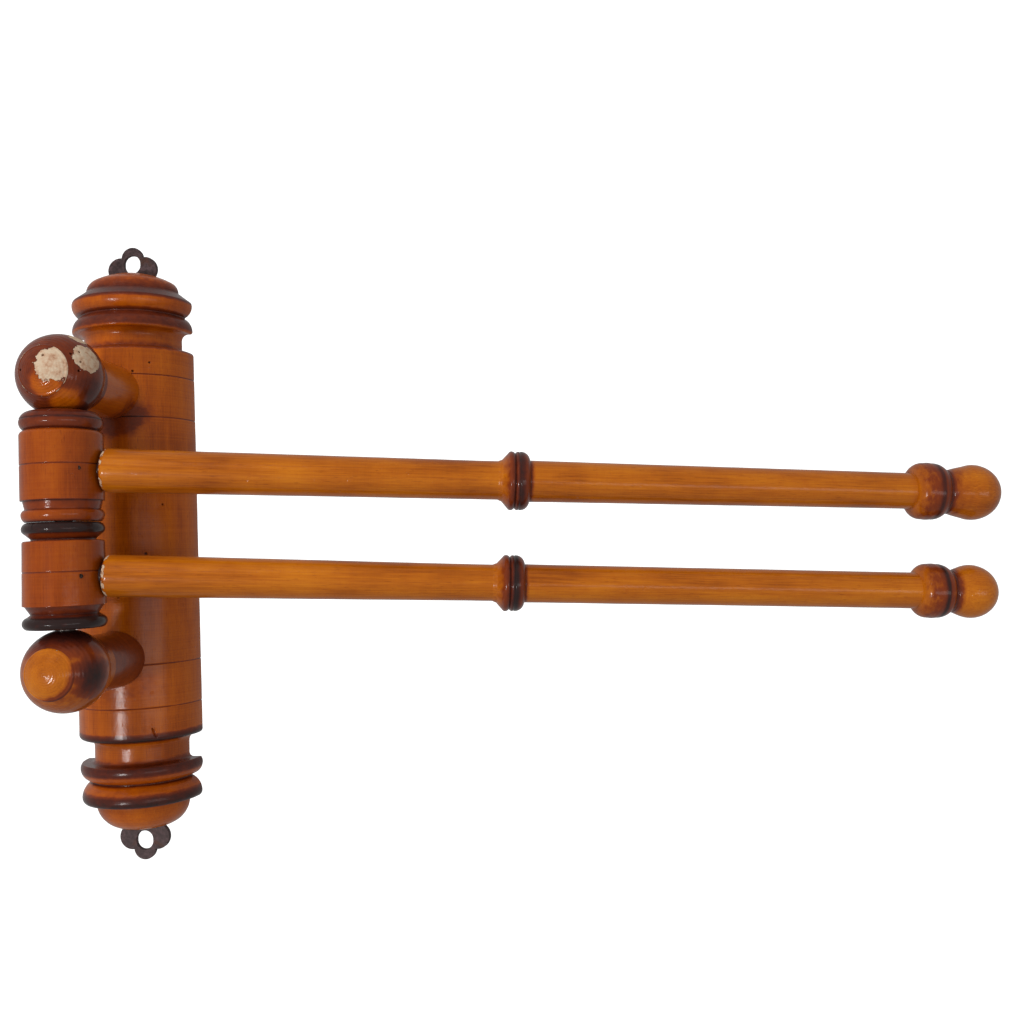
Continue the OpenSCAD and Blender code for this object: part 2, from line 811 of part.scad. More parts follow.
// The rod, which is also the shape of the holes it is driven into
module axle() {
    low = lower_peg_z + ball_r - axle_depth;
    high = upper_peg_z - ball_r + axle_depth;
    translate([0, -axle_reach, low])
        cylinder(h = high - low, r = axle_r);
}

module axle_rod() {
    color("silver")
        axle();
}

// ---------------------------------------------------------------- hubs and arms

// What is cut out of both hubs: the axle's bore, the arm's mortise and the brad's hole
module hub_cuts(length) {
    translate([0, 0, -1])
        cylinder(h = length + 2, r = axle_r + running_gap);
    along_arm()
        translate([0, 0, axle_r + running_gap + tenon_wall])
            cylinder(h = hub_d, d = arm_tenon_d);
    brad();
}

// A brad driven straight in from the front, across the tenon
module brad() {
    front = sqrt(hub_r * hub_r - brad_at * brad_at) - 0.2;
    translate([brad_at, 0, arm_height - brad_at * tan(arm_droop)])
        rotate([90, 0, 0])
            translate([0, 0, -0.75 * front])
                cylinder(h = 1.75 * front, r = brad_r);
}

module arm(root_d, waist_d, outer_d, collar_at, collar_d, reach, tip, end_ball_d) {
    difference() {
        along_arm()
            rotate_extrude()
                arm_profile(root_d, waist_d, outer_d, collar_at, collar_d, reach, tip, end_ball_d);
        brad();
    }
}

module upper_hub() {
    color("chocolate")
        difference() {
            on_axle(upper_hub_z, upper_fold)
                difference() {
                    rotate_extrude()
                        upper_hub_profile();
                    hub_cuts(upper_hub_length);
                }
            translate([0, -axle_reach, upper_peg_z])
                sphere(r = ball_r + end_play);
        }
}

module lower_hub() {
    color("chocolate")
        on_axle(lower_hub_z, lower_fold)
            difference() {
                rotate_extrude()
                    lower_hub_profile();
                hub_cuts(lower_hub_length);
            }
}

module upper_arm() {
    color("burlywood")
        on_axle(upper_hub_z, upper_fold)
            arm(upper_root_d, upper_waist_d, upper_outer_d, upper_collar_at,
                upper_collar_d, upper_arm_length, upper_tip_length, upper_end_ball_d);
}

module lower_arm() {
    color("burlywood")
        on_axle(lower_hub_z, lower_fold)
            arm(lower_root_d, lower_waist_d, lower_outer_d, lower_collar_at,
                lower_collar_d, lower_arm_length, lower_tip_length, lower_end_ball_d);
}

module upper_arm_brad() {
    color("gray")
        on_axle(upper_hub_z, upper_fold)
            brad();
}

module lower_arm_brad() {
    color("gray")
        on_axle(lower_hub_z, lower_fold)
            brad();
}

wall_post();
upper_hanger();
lower_hanger();
upper_hanger_screws();
lower_hanger_screws();
upper_peg();
lower_peg();
upper_peg_screw();
lower_peg_screw();
axle_rod();
upper_hub();
lower_hub();
upper_arm();
lower_arm();
upper_arm_brad();
lower_arm_brad();
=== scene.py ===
"""A wall-mounted towel rail with two swinging arms, turned in wood and varnished.

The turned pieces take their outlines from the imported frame, are spun up as fine meshes with
eased edges, and then get their worm holes, chips, cracks and varnish.
"""

import json
import math

import bmesh
import bpy
import numpy as np
from bpy.props import FloatProperty, FloatVectorProperty, IntProperty, PointerProperty
from bpy.types import Operator, Panel, PropertyGroup
from mathutils import Matrix, Vector


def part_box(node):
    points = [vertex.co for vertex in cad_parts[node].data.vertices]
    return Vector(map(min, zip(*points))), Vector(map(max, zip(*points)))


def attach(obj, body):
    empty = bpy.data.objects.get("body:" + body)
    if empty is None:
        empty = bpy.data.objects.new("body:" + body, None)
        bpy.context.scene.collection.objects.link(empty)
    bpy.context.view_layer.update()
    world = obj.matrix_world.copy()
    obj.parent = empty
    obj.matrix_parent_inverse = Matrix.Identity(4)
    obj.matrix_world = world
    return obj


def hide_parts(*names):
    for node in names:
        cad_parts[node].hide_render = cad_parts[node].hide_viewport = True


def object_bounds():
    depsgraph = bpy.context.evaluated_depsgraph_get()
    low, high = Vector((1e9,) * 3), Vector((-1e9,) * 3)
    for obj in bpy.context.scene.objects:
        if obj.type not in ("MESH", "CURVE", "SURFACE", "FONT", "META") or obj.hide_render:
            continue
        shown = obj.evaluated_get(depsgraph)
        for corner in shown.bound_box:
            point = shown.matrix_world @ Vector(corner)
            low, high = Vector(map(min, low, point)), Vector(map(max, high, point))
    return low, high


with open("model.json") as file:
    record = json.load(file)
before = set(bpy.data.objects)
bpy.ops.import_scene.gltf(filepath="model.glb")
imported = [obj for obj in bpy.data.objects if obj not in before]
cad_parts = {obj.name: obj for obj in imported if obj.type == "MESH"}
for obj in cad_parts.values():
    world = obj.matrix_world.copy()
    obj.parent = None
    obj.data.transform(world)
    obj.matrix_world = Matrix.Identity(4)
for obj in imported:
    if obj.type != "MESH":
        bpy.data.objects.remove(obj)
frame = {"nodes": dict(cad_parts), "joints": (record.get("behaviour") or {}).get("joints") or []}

bl_info = {
    "name": "Swing-arm towel rail",
    "version": (1, 0, 0),
    "blender": (4, 5, 0),
    "location": "3D View > Sidebar > Towel rail",
    "description": "Builds a turned and varnished towel rail around its packed frame",
    "category": "Add Mesh",
}

CAD_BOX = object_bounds()
NODES = frame["nodes"]
JOINTS = {joint["name"]: joint for joint in frame["joints"]}
MM = 0.001
POST_LOW, POST_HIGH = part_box("wall_post")
POST_RADIUS = POST_HIGH.x
# Pockets for the plates reach this far from the turning axis in the post's cut outline.
PLATE_POCKET = 6 * MM
# Further out from the wall than this, in millimetres, a peg's surface is its flat face.
PEG_FACE = 95.3
# The facets of every spun piece are scaled by this; at 1 all are kept.
COARSE = 1
AXLE = Vector(JOINTS["upper_arm_swing"]["pos_m"])


# ---------------------------------------------------------------- what a user would change


class VarnishColours(PropertyGroup):
    """Colours of the wood, the varnish and the metal."""

    amber: FloatVectorProperty(
        name="Amber varnish", description="Varnished wood of the post",
        subtype="COLOR", size=3, min=0, max=1, default=(0.46, 0.102, 0.0015))
    honey: FloatVectorProperty(
        name="Honey varnish", description="Varnished wood of the arms",
        subtype="COLOR", size=3, min=0, max=1, default=(0.48, 0.135, 0.004))
    russet: FloatVectorProperty(
        name="Russet varnish", description="Varnished wood of the hubs and the lower peg",
        subtype="COLOR", size=3, min=0, max=1, default=(0.33, 0.064, 0.002))
    # Darkest colour of the dark ramp: blackened rings, and also the painted shade in the gap where
    # an arm meets its hub.
    burnt_and_shade: FloatVectorProperty(
        name="Burnt line", description="Rings blackened on the lathe",
        subtype="COLOR", size=3, min=0, max=1, default=(0.022, 0.010, 0.009))
    # Pale wood colour, also used as a painted sheen on the rounded shoulder at each arm's root.
    bare_and_sheen: FloatVectorProperty(
        name="Bare wood", description="Pale wood where the varnish has flaked off",
        subtype="COLOR", size=3, min=0, max=1, default=(0.56, 0.42, 0.29))
    iron: FloatVectorProperty(
        name="Iron", description="Dark patina of the hanging plates",
        subtype="COLOR", size=3, min=0, max=1, default=(0.070, 0.045, 0.045))
    steel: FloatVectorProperty(
        name="Steel", description="Screws, brads and axle",
        subtype="COLOR", size=3, min=0, max=1, default=(0.30, 0.27, 0.25))


class TurningDetail(PropertyGroup):
    """Sizes of the detail that the lathe and the years have left."""

    facets: IntProperty(
        name="Facets", description="Facets round a full turn", default=144, min=48, max=512)
    easing: FloatProperty(
        name="Easing", description="How far the corners of the turning are eased",
        unit="LENGTH", default=0.16 * MM, min=0.02 * MM, max=MM)
    unevenness: FloatProperty(
        name="Unevenness", description="How far the hand-turned surface dips below true",
        unit="LENGTH", default=0.12 * MM, min=0, max=MM)
    worm_hole: FloatProperty(
        name="Worm hole", description="Diameter of a worm hole",
        unit="LENGTH", default=1.25 * MM, min=0.5 * MM, max=3 * MM)
    peg_tenon: FloatProperty(
        name="Peg tenon", description="Diameter of the tenon of a peg",
        unit="LENGTH", default=16 * MM, min=10 * MM, max=20 * MM)
    arm_tenon: FloatProperty(
        name="Arm tenon", description="Diameter of the tenon of an arm",
        unit="LENGTH", default=12 * MM, min=8 * MM, max=14 * MM)
    arm_droop: FloatProperty(
        name="Arm droop", description="How far an arm hangs below square to the axle",
        subtype="ANGLE", default=math.radians(3.2), min=0, max=math.radians(5))


class StudioSetup(PropertyGroup):
    """The floor, the lamps and the camera."""

    camera_place: FloatVectorProperty(
        name="Camera place", description="Where the camera stands",
        subtype="TRANSLATION", unit="LENGTH", size=3, default=(0.2434, -0.5347, -0.0101))
    camera_turn: FloatVectorProperty(
        name="Camera turn", description="How the camera is turned", subtype="EULER", size=3,
        default=(math.radians(92.065), math.radians(2.027), math.radians(4.546)))
    lens: FloatProperty(
        name="Lens", description="Focal length in millimetres", default=35.986, min=10, max=200)
    floor_drop: FloatProperty(
        name="Floor drop", description="How far the floor lies below the rail",
        unit="LENGTH", default=0.35, min=0.1, max=2)
    lamp_power: FloatProperty(
        name="Lamp power", description="Strength of all lamps together",
        default=1.0, min=0, max=10)


# ---------------------------------------------------------------- outlines and meshes


def half_section(node, place, turn):
    """The longest line in which a half plane beside the turning axis cuts a node.

    Returns its points as radius and height, and whether the line closes on itself.
    A line starts at its end nearest the axis, or where it comes nearest the axis.
    """
    work = bmesh.new()
    work.from_mesh(NODES[node].data)
    work.transform(Matrix.Rotation(-turn, 4, "Z") @ place.inverted())
    bmesh.ops.remove_doubles(work, verts=work.verts[:], dist=1e-6)
    for normal, keep_front in (((0, 1, 0), False), ((1, 0, 0), True)):
        bmesh.ops.bisect_plane(
            work, geom=work.verts[:] + work.edges[:] + work.faces[:], dist=1e-7,
            plane_co=(0, 0, 0), plane_no=normal, clear_inner=True, clear_outer=not keep_front)
    lines = []
    left = set(work.verts)
    while left:
        ends = [v for v in left if len(v.link_edges) == 1]
        start = min(ends or left, key=lambda vert: (vert.co.x, vert.co.z))
        line, here = [start], start
        left.discard(start)
        while True:
            onward = [e.other_vert(here) for e in here.link_edges if e.other_vert(here) in left]
            if not onward:
                break
            here = onward[0]
            left.discard(here)
            line.append(here)
        lines.append((np.array([(v.co.x, v.co.z) for v in line]), not ends))
    work.free()
    if not lines:
        raise RuntimeError(f"no outline was found in {node}")
    return max(lines, key=lambda item: np.linalg.norm(np.diff(item[0], axis=0), axis=1).sum())


def arc_directions(points, closed):
    """The direction of the curve through each point, on the side before it and after it."""
    steps = np.diff(points, axis=0, append=points[:1] if closed else points[-1:])
    if not closed:
        steps = steps[:-1]
    lengths = np.linalg.norm(steps, axis=1)
    ways = steps / lengths[:, None]
    count = len(points)
    before, after = [None] * count, [None] * count
    for i in range(count):
        has_back, has_on = closed or i > 0, closed or i < count - 1
        back, on = (i - 1) % len(ways), i % len(ways)
        if not (has_back and has_on):
            continue
        if ways[back] @ ways[on] < math.cos(math.radians(24)):
            continue
        long_back = lengths[back] > 3 * MM and lengths[back] > 3 * lengths[on]
        long_on = lengths[on] > 3 * MM and lengths[on] > 3 * lengths[back]
        if long_back or long_on:
            mean = ways[back] if long_back else ways[on]
        else:
            mean = ways[back] * lengths[on] + ways[on] * lengths[back]
        before[i] = after[i] = mean / np.linalg.norm(mean)
    return ways, lengths, before, after


def smooth_outline(points, closed, easing, row_gap):
    """Turns a cut outline back into curves, eases its corners and spaces its points."""
    apart = np.linalg.norm(np.diff(points, axis=0), axis=1) > 2e-6
    points = points[np.concatenate([[True], apart])]
    ways, lengths, before, after = arc_directions(points, closed)
    fine = []
    for i, (way, length) in enumerate(zip(ways, lengths)):
        j = (i + 1) % len(points)
        start, end = points[i], points[j]
        leave, arrive = after[i], before[j]
        if leave is None and arrive is not None:
            leave = 2 * (arrive @ way) * way - arrive
        if arrive is None and leave is not None:
            arrive = 2 * (leave @ way) * way - leave
        leave, arrive = (way if leave is None else leave), (way if arrive is None else arrive)
        t = np.linspace(0, 1, max(2, int(length / (0.2 * MM))), endpoint=False)[:, None]
        fine.append((2 * t**3 - 3 * t**2 + 1) * start + (t**3 - 2 * t**2 + t) * leave * length
                    + (3 * t**2 - 2 * t**3) * end + (t**3 - t**2) * arrive * length)
    fine = np.concatenate(fine + [points[:1] if closed else points[-1:]])
    along = np.concatenate([[0], np.cumsum(np.linalg.norm(np.diff(fine, axis=0), axis=1))])
    pitch = 0.05 * MM
    even = np.linspace(0, along[-1], int(along[-1] / pitch))
    line = np.stack([np.interp(even, along, fine[:, k]) for k in (0, 1)], axis=1)
    reach = int(3 * easing / pitch)
    weights = np.exp(-0.5 * (np.arange(-reach, reach + 1) * pitch / easing) ** 2)
    weights /= weights.sum()
    if closed:
        padded = np.concatenate([line[-reach - 1:-1], line, line[1:reach + 1]])
    else:
        mirror = np.array([-1, 1])
        padded = np.concatenate([line[reach:0:-1] * mirror, line, line[-2:-reach - 2:-1] * mirror])
    eased = np.stack([np.convolve(padded[:, k], weights, "valid") for k in (0, 1)], axis=1)
    return thinned(eased, 3e-6, row_gap)


def thinned(line, tolerance, row_gap):
    """Keeps only the points that the line's shape needs, none further apart than row_gap."""
    keep = {0, len(line) - 1}
    spans = [(0, len(line) - 1)]
    while spans:
        first, last = spans.pop()
        if last - first < 2:
            continue
        chord = line[last] - line[first]
        span = np.linalg.norm(chord)
        offsets = line[first + 1:last] - line[first]
        if span < 1e-9:
            gaps = np.linalg.norm(offsets, axis=1)
        else:
            gaps = np.abs(offsets[:, 0] * chord[1] - offsets[:, 1] * chord[0]) / span
        worst = first + 1 + int(gaps.argmax())
        if gaps.max() > tolerance or span > row_gap:
            split = worst if gaps.max() > tolerance else (first + last) // 2
            keep.add(split)
            spans += [(first, split), (split, last)]
    return line[sorted(keep)]


def dips(radius, turn, height, depth, seed):
    """How far a hand-turned surface lies below true, from 0 to depth."""
    wave = (np.sin(2 * turn + 90 * height + seed) + np.sin(3 * turn - 210 * height + 2.1 * seed)
            + np.sin(5 * turn + 480 * height + 3.7 * seed) + np.sin(turn - 55 * height + seed))
    return depth * (0.5 + wave / 8) * np.clip(radius / (6 * MM) - 1, 0, 1)


def turned(name, outline, closed, place, facets, half=False, uneven=0.0, seed=0):
    """Spins an outline round the height axis, all the way or through the front half."""
    facets = int(facets * COARSE)
    steps = facets // 2 + 1 if half else facets
    angles = np.linspace(-math.pi, 0, steps) if half else np.arange(steps) * 2 * math.pi / steps
    if closed:
        outline = outline[:-1]
    points, rings = [], []
    for radius, height in outline:
        if radius < 0.02 * MM:
            rings.append([len(points)] * steps)
            points.append((0.0, 0.0, height))
            continue
        rings.append(list(range(len(points), len(points) + steps)))
        r = radius - dips(radius, angles, height, uneven, seed)
        points += list(zip(r * np.cos(angles), r * np.sin(angles), [height] * steps))
    faces = []
    pairs = list(zip(rings, rings[1:])) + ([(rings[-1], rings[0])] if closed else [])
    for low, high in pairs:
        for i in range(steps - 1 if half else steps):
            j = (i + 1) % steps
            corners = list(dict.fromkeys((low[i], low[j], high[j], high[i])))
            if len(corners) > 2:
                faces.append(corners)
    if half:
        sides = [ring[0] for ring in rings] + [ring[-1] for ring in reversed(rings)]
        faces.append(list(dict.fromkeys(sides)))
    mesh = bpy.data.meshes.new(name)
    mesh.from_pydata(points, [], faces)
    work = bmesh.new()
    work.from_mesh(mesh)
    bmesh.ops.recalc_face_normals(work, faces=work.faces[:])
    work.to_mesh(mesh)
    work.free()
    piece = bpy.data.objects.new(name, mesh)
    bpy.context.scene.collection.objects.link(piece)
    piece.matrix_world = place
    return piece


def drill(start, direction, radius, depth, sides=20):
    """A drill bit: a slightly tapered plug that starts outside the surface."""
    bit = bmesh.new()
    turn = Vector((0, 0, 1)).rotation_difference(Vector(direction)).to_matrix().to_4x4()
    middle = Matrix.Translation(Vector(start)) @ turn @ Matrix.Translation((0, 0, depth / 2))
    bmesh.ops.create_cone(bit, cap_ends=True, segments=sides, radius1=radius,
                          radius2=0.97 * radius, depth=depth, matrix=middle)
    return bit


def blank_of(node):
    """A cutter with the shape of a frame piece that is let into another.

    What lies flush with the wall is pushed past it, so that the cut opens there.
    """
    blank = bmesh.new()
    blank.from_mesh(NODES[node].data)
    bmesh.ops.remove_doubles(blank, verts=blank.verts[:], dist=1e-6)
    bmesh.ops.recalc_face_normals(blank, faces=blank.faces[:])
    for vert in blank.verts:
        if vert.co.y > -0.01 * MM:
            vert.co.y = MM
    return blank


def gouge(place, size):
    """A rough blunt tool for knocking out a chip or opening a crack."""
    tool = bmesh.new()
    bmesh.ops.create_icosphere(tool, subdivisions=2, radius=1)
    for vert in tool.verts:
        x, y, z = vert.co
        ripple = 1 + 0.16 * math.sin(7 * x + 3 * z) * math.cos(5 * y - 4 * z)
        vert.co = Vector((x * size[0], y * size[1], z * size[2])) * ripple
    tool.transform(place)
    return tool


def volume(mesh):
    """The volume that a mesh encloses."""
    work = bmesh.new()
    work.from_mesh(mesh)
    enclosed = work.calc_volume()
    work.free()
    return enclosed


def carve(piece, *rounds):
    """Cuts away each round of cutters in turn. The cutters of one round don't overlap."""
    before = volume(piece.data)
    for cutters in rounds:
        joined = bpy.data.meshes.new("cutter")
        work = bmesh.new()
        for cutter in cutters:
            cutter.to_mesh(joined)
            cutter.free()
            work.from_mesh(joined)
        work.to_mesh(joined)
        work.free()
        tool = bpy.data.objects.new("cutter", joined)
        bpy.context.scene.collection.objects.link(tool)
        cut = piece.modifiers.new("cut", "BOOLEAN")
        cut.operation, cut.solver, cut.object = "DIFFERENCE", "EXACT", tool
        bpy.context.view_layer.update()
        whole = piece.data
        ready = piece.evaluated_get(bpy.context.evaluated_depsgraph_get())
        piece.data = bpy.data.meshes.new_from_object(ready)
        piece.modifiers.clear()
        bpy.data.objects.remove(tool)
        bpy.data.meshes.remove(joined)
        bpy.data.meshes.remove(whole)
    piece.data.name = piece.name
    if not 0.8 * before < volume(piece.data) <= before:
        raise RuntimeError(f"{piece.name} was not carved cleanly")


def local_points(piece):
    """The points of a piece in millimetres, in its own frame."""
    points = np.zeros(len(piece.data.vertices) * 3, np.float32)
    piece.data.vertices.foreach_get("co", points)
    return points.reshape(-1, 3).astype(float) / MM


def brush(piece, name, values):
    """Paints one value on each point of a piece."""
    layer = piece.data.attributes.new(name, "FLOAT", "POINT")
    layer.data.foreach_set("value", np.clip(values, 0, 1).astype(np.float32))


def bands(height, stops):
    """A value for each height from a list of heights with their values."""
    at, values = zip(*sorted(stops))
    return np.interp(height, at, values)


def spot(points, centre, towards, spread, soft):
    """1 within spread degrees of a direction from a centre, falling to 0 over soft degrees."""
    ways = points - np.array(centre)
    ways /= np.linalg.norm(ways, axis=1)[:, None] + 1e-9
    goal = np.array(towards, float)
    angle = np.degrees(np.arccos(np.clip(ways @ (goal / np.linalg.norm(goal)), -1, 1)))
    return np.clip((spread + soft - angle) / soft, 0, 1)


def hand_over(piece, body, nodes, material):
    """Gives a piece its finish and smooth shading, and joins it to the frame.

    Its points move to the frame's axes, and "lathe" keeps where each was on the lathe.
    """
    points = local_points(piece) * MM
    layer = piece.data.attributes.new("lathe", "FLOAT_VECTOR", "POINT")
    layer.data.foreach_set("vector", points.astype(np.float32).ravel())
    piece.data.transform(piece.matrix_world)
    piece.matrix_world = Matrix.Identity(4)
    piece.data.materials.clear()
    piece.data.materials.append(material)
    piece.data.shade_smooth()
    piece.data.set_sharp_from_angle(angle=math.radians(38))
    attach(piece, body)
    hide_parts(*nodes)


# ---------------------------------------------------------------- finishes


def wire(material, kind, inputs=None, **settings):
    """Adds a node to a material. An input's value is a number, a colour or a socket."""
    tree = material.node_tree
    made = tree.nodes.new(kind)
    for key, value in settings.items():
        setattr(made, key, value)
    for key, value in (inputs or {}).items():
        if isinstance(value, bpy.types.NodeSocket):
            tree.links.new(value, made.inputs[key])
        else:
            made.inputs[key].default_value = value
    return made


def sums(material, operation, *values, clamp=False):
    """A sum, product or other piece of arithmetic on sockets and numbers."""
    made = wire(material, "ShaderNodeMath", dict(enumerate(values)),
                operation=operation, use_clamp=clamp)
    return made.outputs[0]


def ramp(material, value, stops):
    """A colour ramp: stops are places with their colours."""
    made = wire(material, "ShaderNodeValToRGB", {"Fac": value})
    band = made.color_ramp
    while len(band.elements) < len(stops):
        band.elements.new(0.5)
    for element, (at, colour) in zip(band.elements, stops):
        element.position, element.color = at, (*colour, 1)
    return made.outputs["Color"]


def mixed(material, share, first, second, blend="MIX"):
    """Two colours mixed by a share."""
    made = wire(material, "ShaderNodeMix", {0: share}, data_type="RGBA", blend_type=blend)
    for place, value in ((6, first), (7, second)):
        if isinstance(value, bpy.types.NodeSocket):
            material.node_tree.links.new(value, made.inputs[place])
        else:
            made.inputs[place].default_value = (*value, 1)
    return made.outputs[2]


def place_in(material, on_lathe):
    """Where a point is: on the lathe that turned it, or in the frame."""
    if on_lathe:
        return wire(material, "ShaderNodeAttribute", attribute_name="lathe").outputs["Vector"]
    return wire(material, "ShaderNodeTexCoord").outputs["Object"]


def stretched_noise(material, stretch, detail=4.0, roughness=0.55, seed=0.0, on_lathe=False):
    """Noise with a stretch for each direction, per metre."""
    mapped = wire(material, "ShaderNodeMapping",
                  {"Vector": place_in(material, on_lathe), "Scale": stretch,
                   "Location": (seed, 2.3 * seed, 3.1 * seed)})
    made = wire(material, "ShaderNodeTexNoise",
                {"Vector": mapped.outputs[0], "Scale": 1.0, "Detail": detail,
                 "Roughness": roughness})
    return made.outputs["Fac"]


def new_material(name):
    """An empty material with its output node."""
    material = bpy.data.materials.new(name)
    material.use_nodes = True
    material.node_tree.nodes.clear()
    return material, wire(material, "ShaderNodeOutputMaterial")


def tinted(colour, factor):
    """A colour with each channel scaled, and held at white."""
    return tuple(min(1.0, c * f) for c, f in zip(colour, factor))


def varnished_wood(name, colour, seed, coat_roughness=0.13, lathe_lines=1.0, fibrous=0.2,
                   ringed=False):
    """Turned wood under old gloss varnish.

    The grain runs along the turning axis, fine lathe lines run round it, and two painted
    masks say where the varnish is blackened and where it has flaked off down to the wood.
    The dark mask also paints shade under the pegs and in the gap at each arm's root, and
    the pale mask also paints a sheen on the rounded shoulder at each arm's root.
    """
    colours = bpy.context.scene.rail_colours
    material, output = new_material(name)
    m = material

    def noise(stretch, detail, roughness, step):
        return stretched_noise(m, stretch, detail, roughness, seed + step, on_lathe=True)

    fibre = noise((1500, 1500, 45), 5, 0.62, 0)
    figure = noise((95, 95, 16), 3, 0.5, 3)
    cloud = noise((38, 38, 30), 3, 0.55, 7)
    lines = noise((12, 12, 2100), 4, 0.6, 11)
    pores = noise((2600, 2600, 210), 2, 0.5, 13)

    grain = sums(m, "MULTIPLY_ADD", fibre, fibrous, sums(m, "MULTIPLY", figure, 0.34))
    grain = sums(m, "MULTIPLY_ADD", lines, 0.14 * lathe_lines, grain)
    grain = sums(m, "MULTIPLY_ADD", cloud, 0.66 - fibrous - 0.14 * lathe_lines, grain)
    wood = ramp(m, grain, [
        (0.38, tinted(colour, (0.55, 0.42, 0.40))), (0.49, tinted(colour, (0.86, 0.78, 0.80))),
        (0.58, tinted(colour, (1.04, 1.06, 1.1))), (0.70, tinted(colour, (1.22, 1.40, 1.8)))])
    pore = ramp(m, pores, [(0.30, (0.45, 0.33, 0.3)), (0.37, (1, 1, 1))])
    wood = mixed(m, 0.5, wood, pore, "MULTIPLY")

    # Dark mask: blackened rings and beads, plus painted shade under the pegs, under the upper peg's
    # neck and in the gap at each arm's root.
    burn_and_shade = wire(m, "ShaderNodeAttribute", attribute_name="burn_and_shade").outputs["Fac"]
    wander = noise((260, 260, 420), 3, 0.6, 17)
    burn_and_shade = sums(m, "MULTIPLY_ADD", sums(m, "SUBTRACT", wander, 0.5), 0.40, burn_and_shade, clamp=True)
    scorch_and_shade = ramp(m, burn_and_shade, [
        (0.10, tinted(colour, (0.82, 0.62, 0.6))), (0.38, (0.190, 0.030, 0.004)),
        (0.68, (0.080, 0.013, 0.006)), (0.95, tuple(colours.burnt_and_shade))])
    cover = ramp(m, burn_and_shade, [(0.05, (0, 0, 0)), (0.36, (1, 1, 1))])
    finish = mixed(m, cover, wood, scorch_and_shade)

    # Pale mask: flaked varnish, plus a painted sheen on the rounded shoulder at each arm's root.
    wear_and_sheen = wire(m, "ShaderNodeAttribute", attribute_name="wear_and_sheen").outputs["Fac"]
    chips = noise((300, 300, 300), 5, 0.62, 23)
    ragged = sums(m, "MULTIPLY_ADD", sums(m, "SUBTRACT", chips, 0.5), 1.15, wear_and_sheen)
    bare_and_sheen = ramp(m, ragged, [(0.56, (0, 0, 0)), (0.585, (1, 1, 1))])
    rim = ramp(m, ragged, [(0.50, (1, 1, 1)), (0.57, (0.35, 0.22, 0.25)), (0.60, (1, 1, 1))])
    dirt = noise((380, 380, 380), 4, 0.6, 29)
    raw_and_sheen = ramp(m, dirt, [(0.30, tinted(colours.bare_and_sheen, (0.62, 0.42, 0.36))),
                         (0.44, tinted(colours.bare_and_sheen, (0.90, 0.78, 0.74))),
                         (0.60, tinted(colours.bare_and_sheen, (1.02, 1.04, 1.06)))])
    finish = mixed(m, 1.0, finish, rim, "MULTIPLY")
    finish = mixed(m, bare_and_sheen, finish, raw_and_sheen)

    sound = sums(m, "SUBTRACT", 1.0, bare_and_sheen)
    rough = sums(m, "MULTIPLY_ADD", fibre, 0.22, 0.30)
    rough = sums(m, "MULTIPLY_ADD", bare_and_sheen, 0.30, rough, clamp=True)
    orange_peel = noise((620, 620, 330), 3, 0.6, 31)
    dents = ramp(m, noise((330, 330, 330), 2, 0.5, 37), [(0.70, (0, 0, 0)), (0.78, (1, 1, 1))])
    relief = sums(m, "MULTIPLY", lines, 0.035 * lathe_lines)
    relief = sums(m, "MULTIPLY_ADD", fibre, 0.016, relief)
    relief = sums(m, "MULTIPLY_ADD", orange_peel, 0.075, relief)
    relief = sums(m, "MULTIPLY_ADD", dents, -0.10, relief)
    relief = sums(m, "MULTIPLY_ADD", sound, 0.12, relief)
    if ringed:
        relief = sums(m, "MULTIPLY_ADD", face_rings(m), 0.05, relief)
    bump = wire(m, "ShaderNodeBump", {"Height": relief, "Strength": 0.9, "Distance": MM})
    shader = wire(m, "ShaderNodeBsdfPrincipled", {
        "Base Color": finish, "Roughness": rough, "Normal": bump.outputs[0],
        "Coat Normal": bump.outputs[0], "Coat Weight": sums(m, "MULTIPLY", sound, 0.9),
        "Coat Roughness": coat_roughness, "Coat IOR": 1.33, "IOR": 1.45,
        "Specular IOR Level": 0.06})
    m.node_tree.links.new(shader.outputs[0], output.inputs["Surface"])
    return material


def face_rings(material):
    """Rings about the axis that a turning tool leaves on a face."""
    place = place_in(material, on_lathe=True)
    flat = wire(material, "ShaderNodeVectorMath", {0: place, 1: (1, 1, 0)}, operation="MULTIPLY")
    away = wire(material, "ShaderNodeVectorMath", {0: flat.outputs[0]}, operation="LENGTH")
    turn = sums(material, "MULTIPLY", away.outputs["Value"], 5200)
    return sums(material, "MULTIPLY_ADD", sums(material, "SINE", turn), 0.5, 0.5)


def patinated_iron():
    """Hand-cut iron with a purple-brown skin and a little rust."""
    colour = bpy.context.scene.rail_colours.iron
    material, output = new_material("patinated_iron")
    m = material
    skin = stretched_noise(m, (420, 420, 420), 5, 0.65, 2)
    rust = stretched_noise(m, (150, 150, 150), 4, 0.6, 5)
    base = ramp(m, skin, [(0.34, tinted(colour, (0.55, 0.5, 0.5))),
                          (0.52, tuple(colour)), (0.70, tinted(colour, (1.9, 1.8, 1.9)))])
    spots = ramp(m, rust, [(0.56, (0, 0, 0)), (0.68, (0.7, 0.7, 0.7))])
    base = mixed(m, spots, base, (0.10, 0.038, 0.020))
    rough = sums(m, "MULTIPLY_ADD", skin, 0.35, 0.40)
    hammered = stretched_noise(m, (210, 210, 210), 3, 0.5, 8)
    relief = sums(m, "MULTIPLY_ADD", skin, 0.08, sums(m, "MULTIPLY", hammered, 0.18))
    bump = wire(m, "ShaderNodeBump", {"Height": relief, "Strength": 1.0, "Distance": MM})
    shader = wire(m, "ShaderNodeBsdfPrincipled", {
        "Base Color": base, "Roughness": rough, "Metallic": 0.55, "Normal": bump.outputs[0]})
    m.node_tree.links.new(shader.outputs[0], output.inputs["Surface"])
    return material


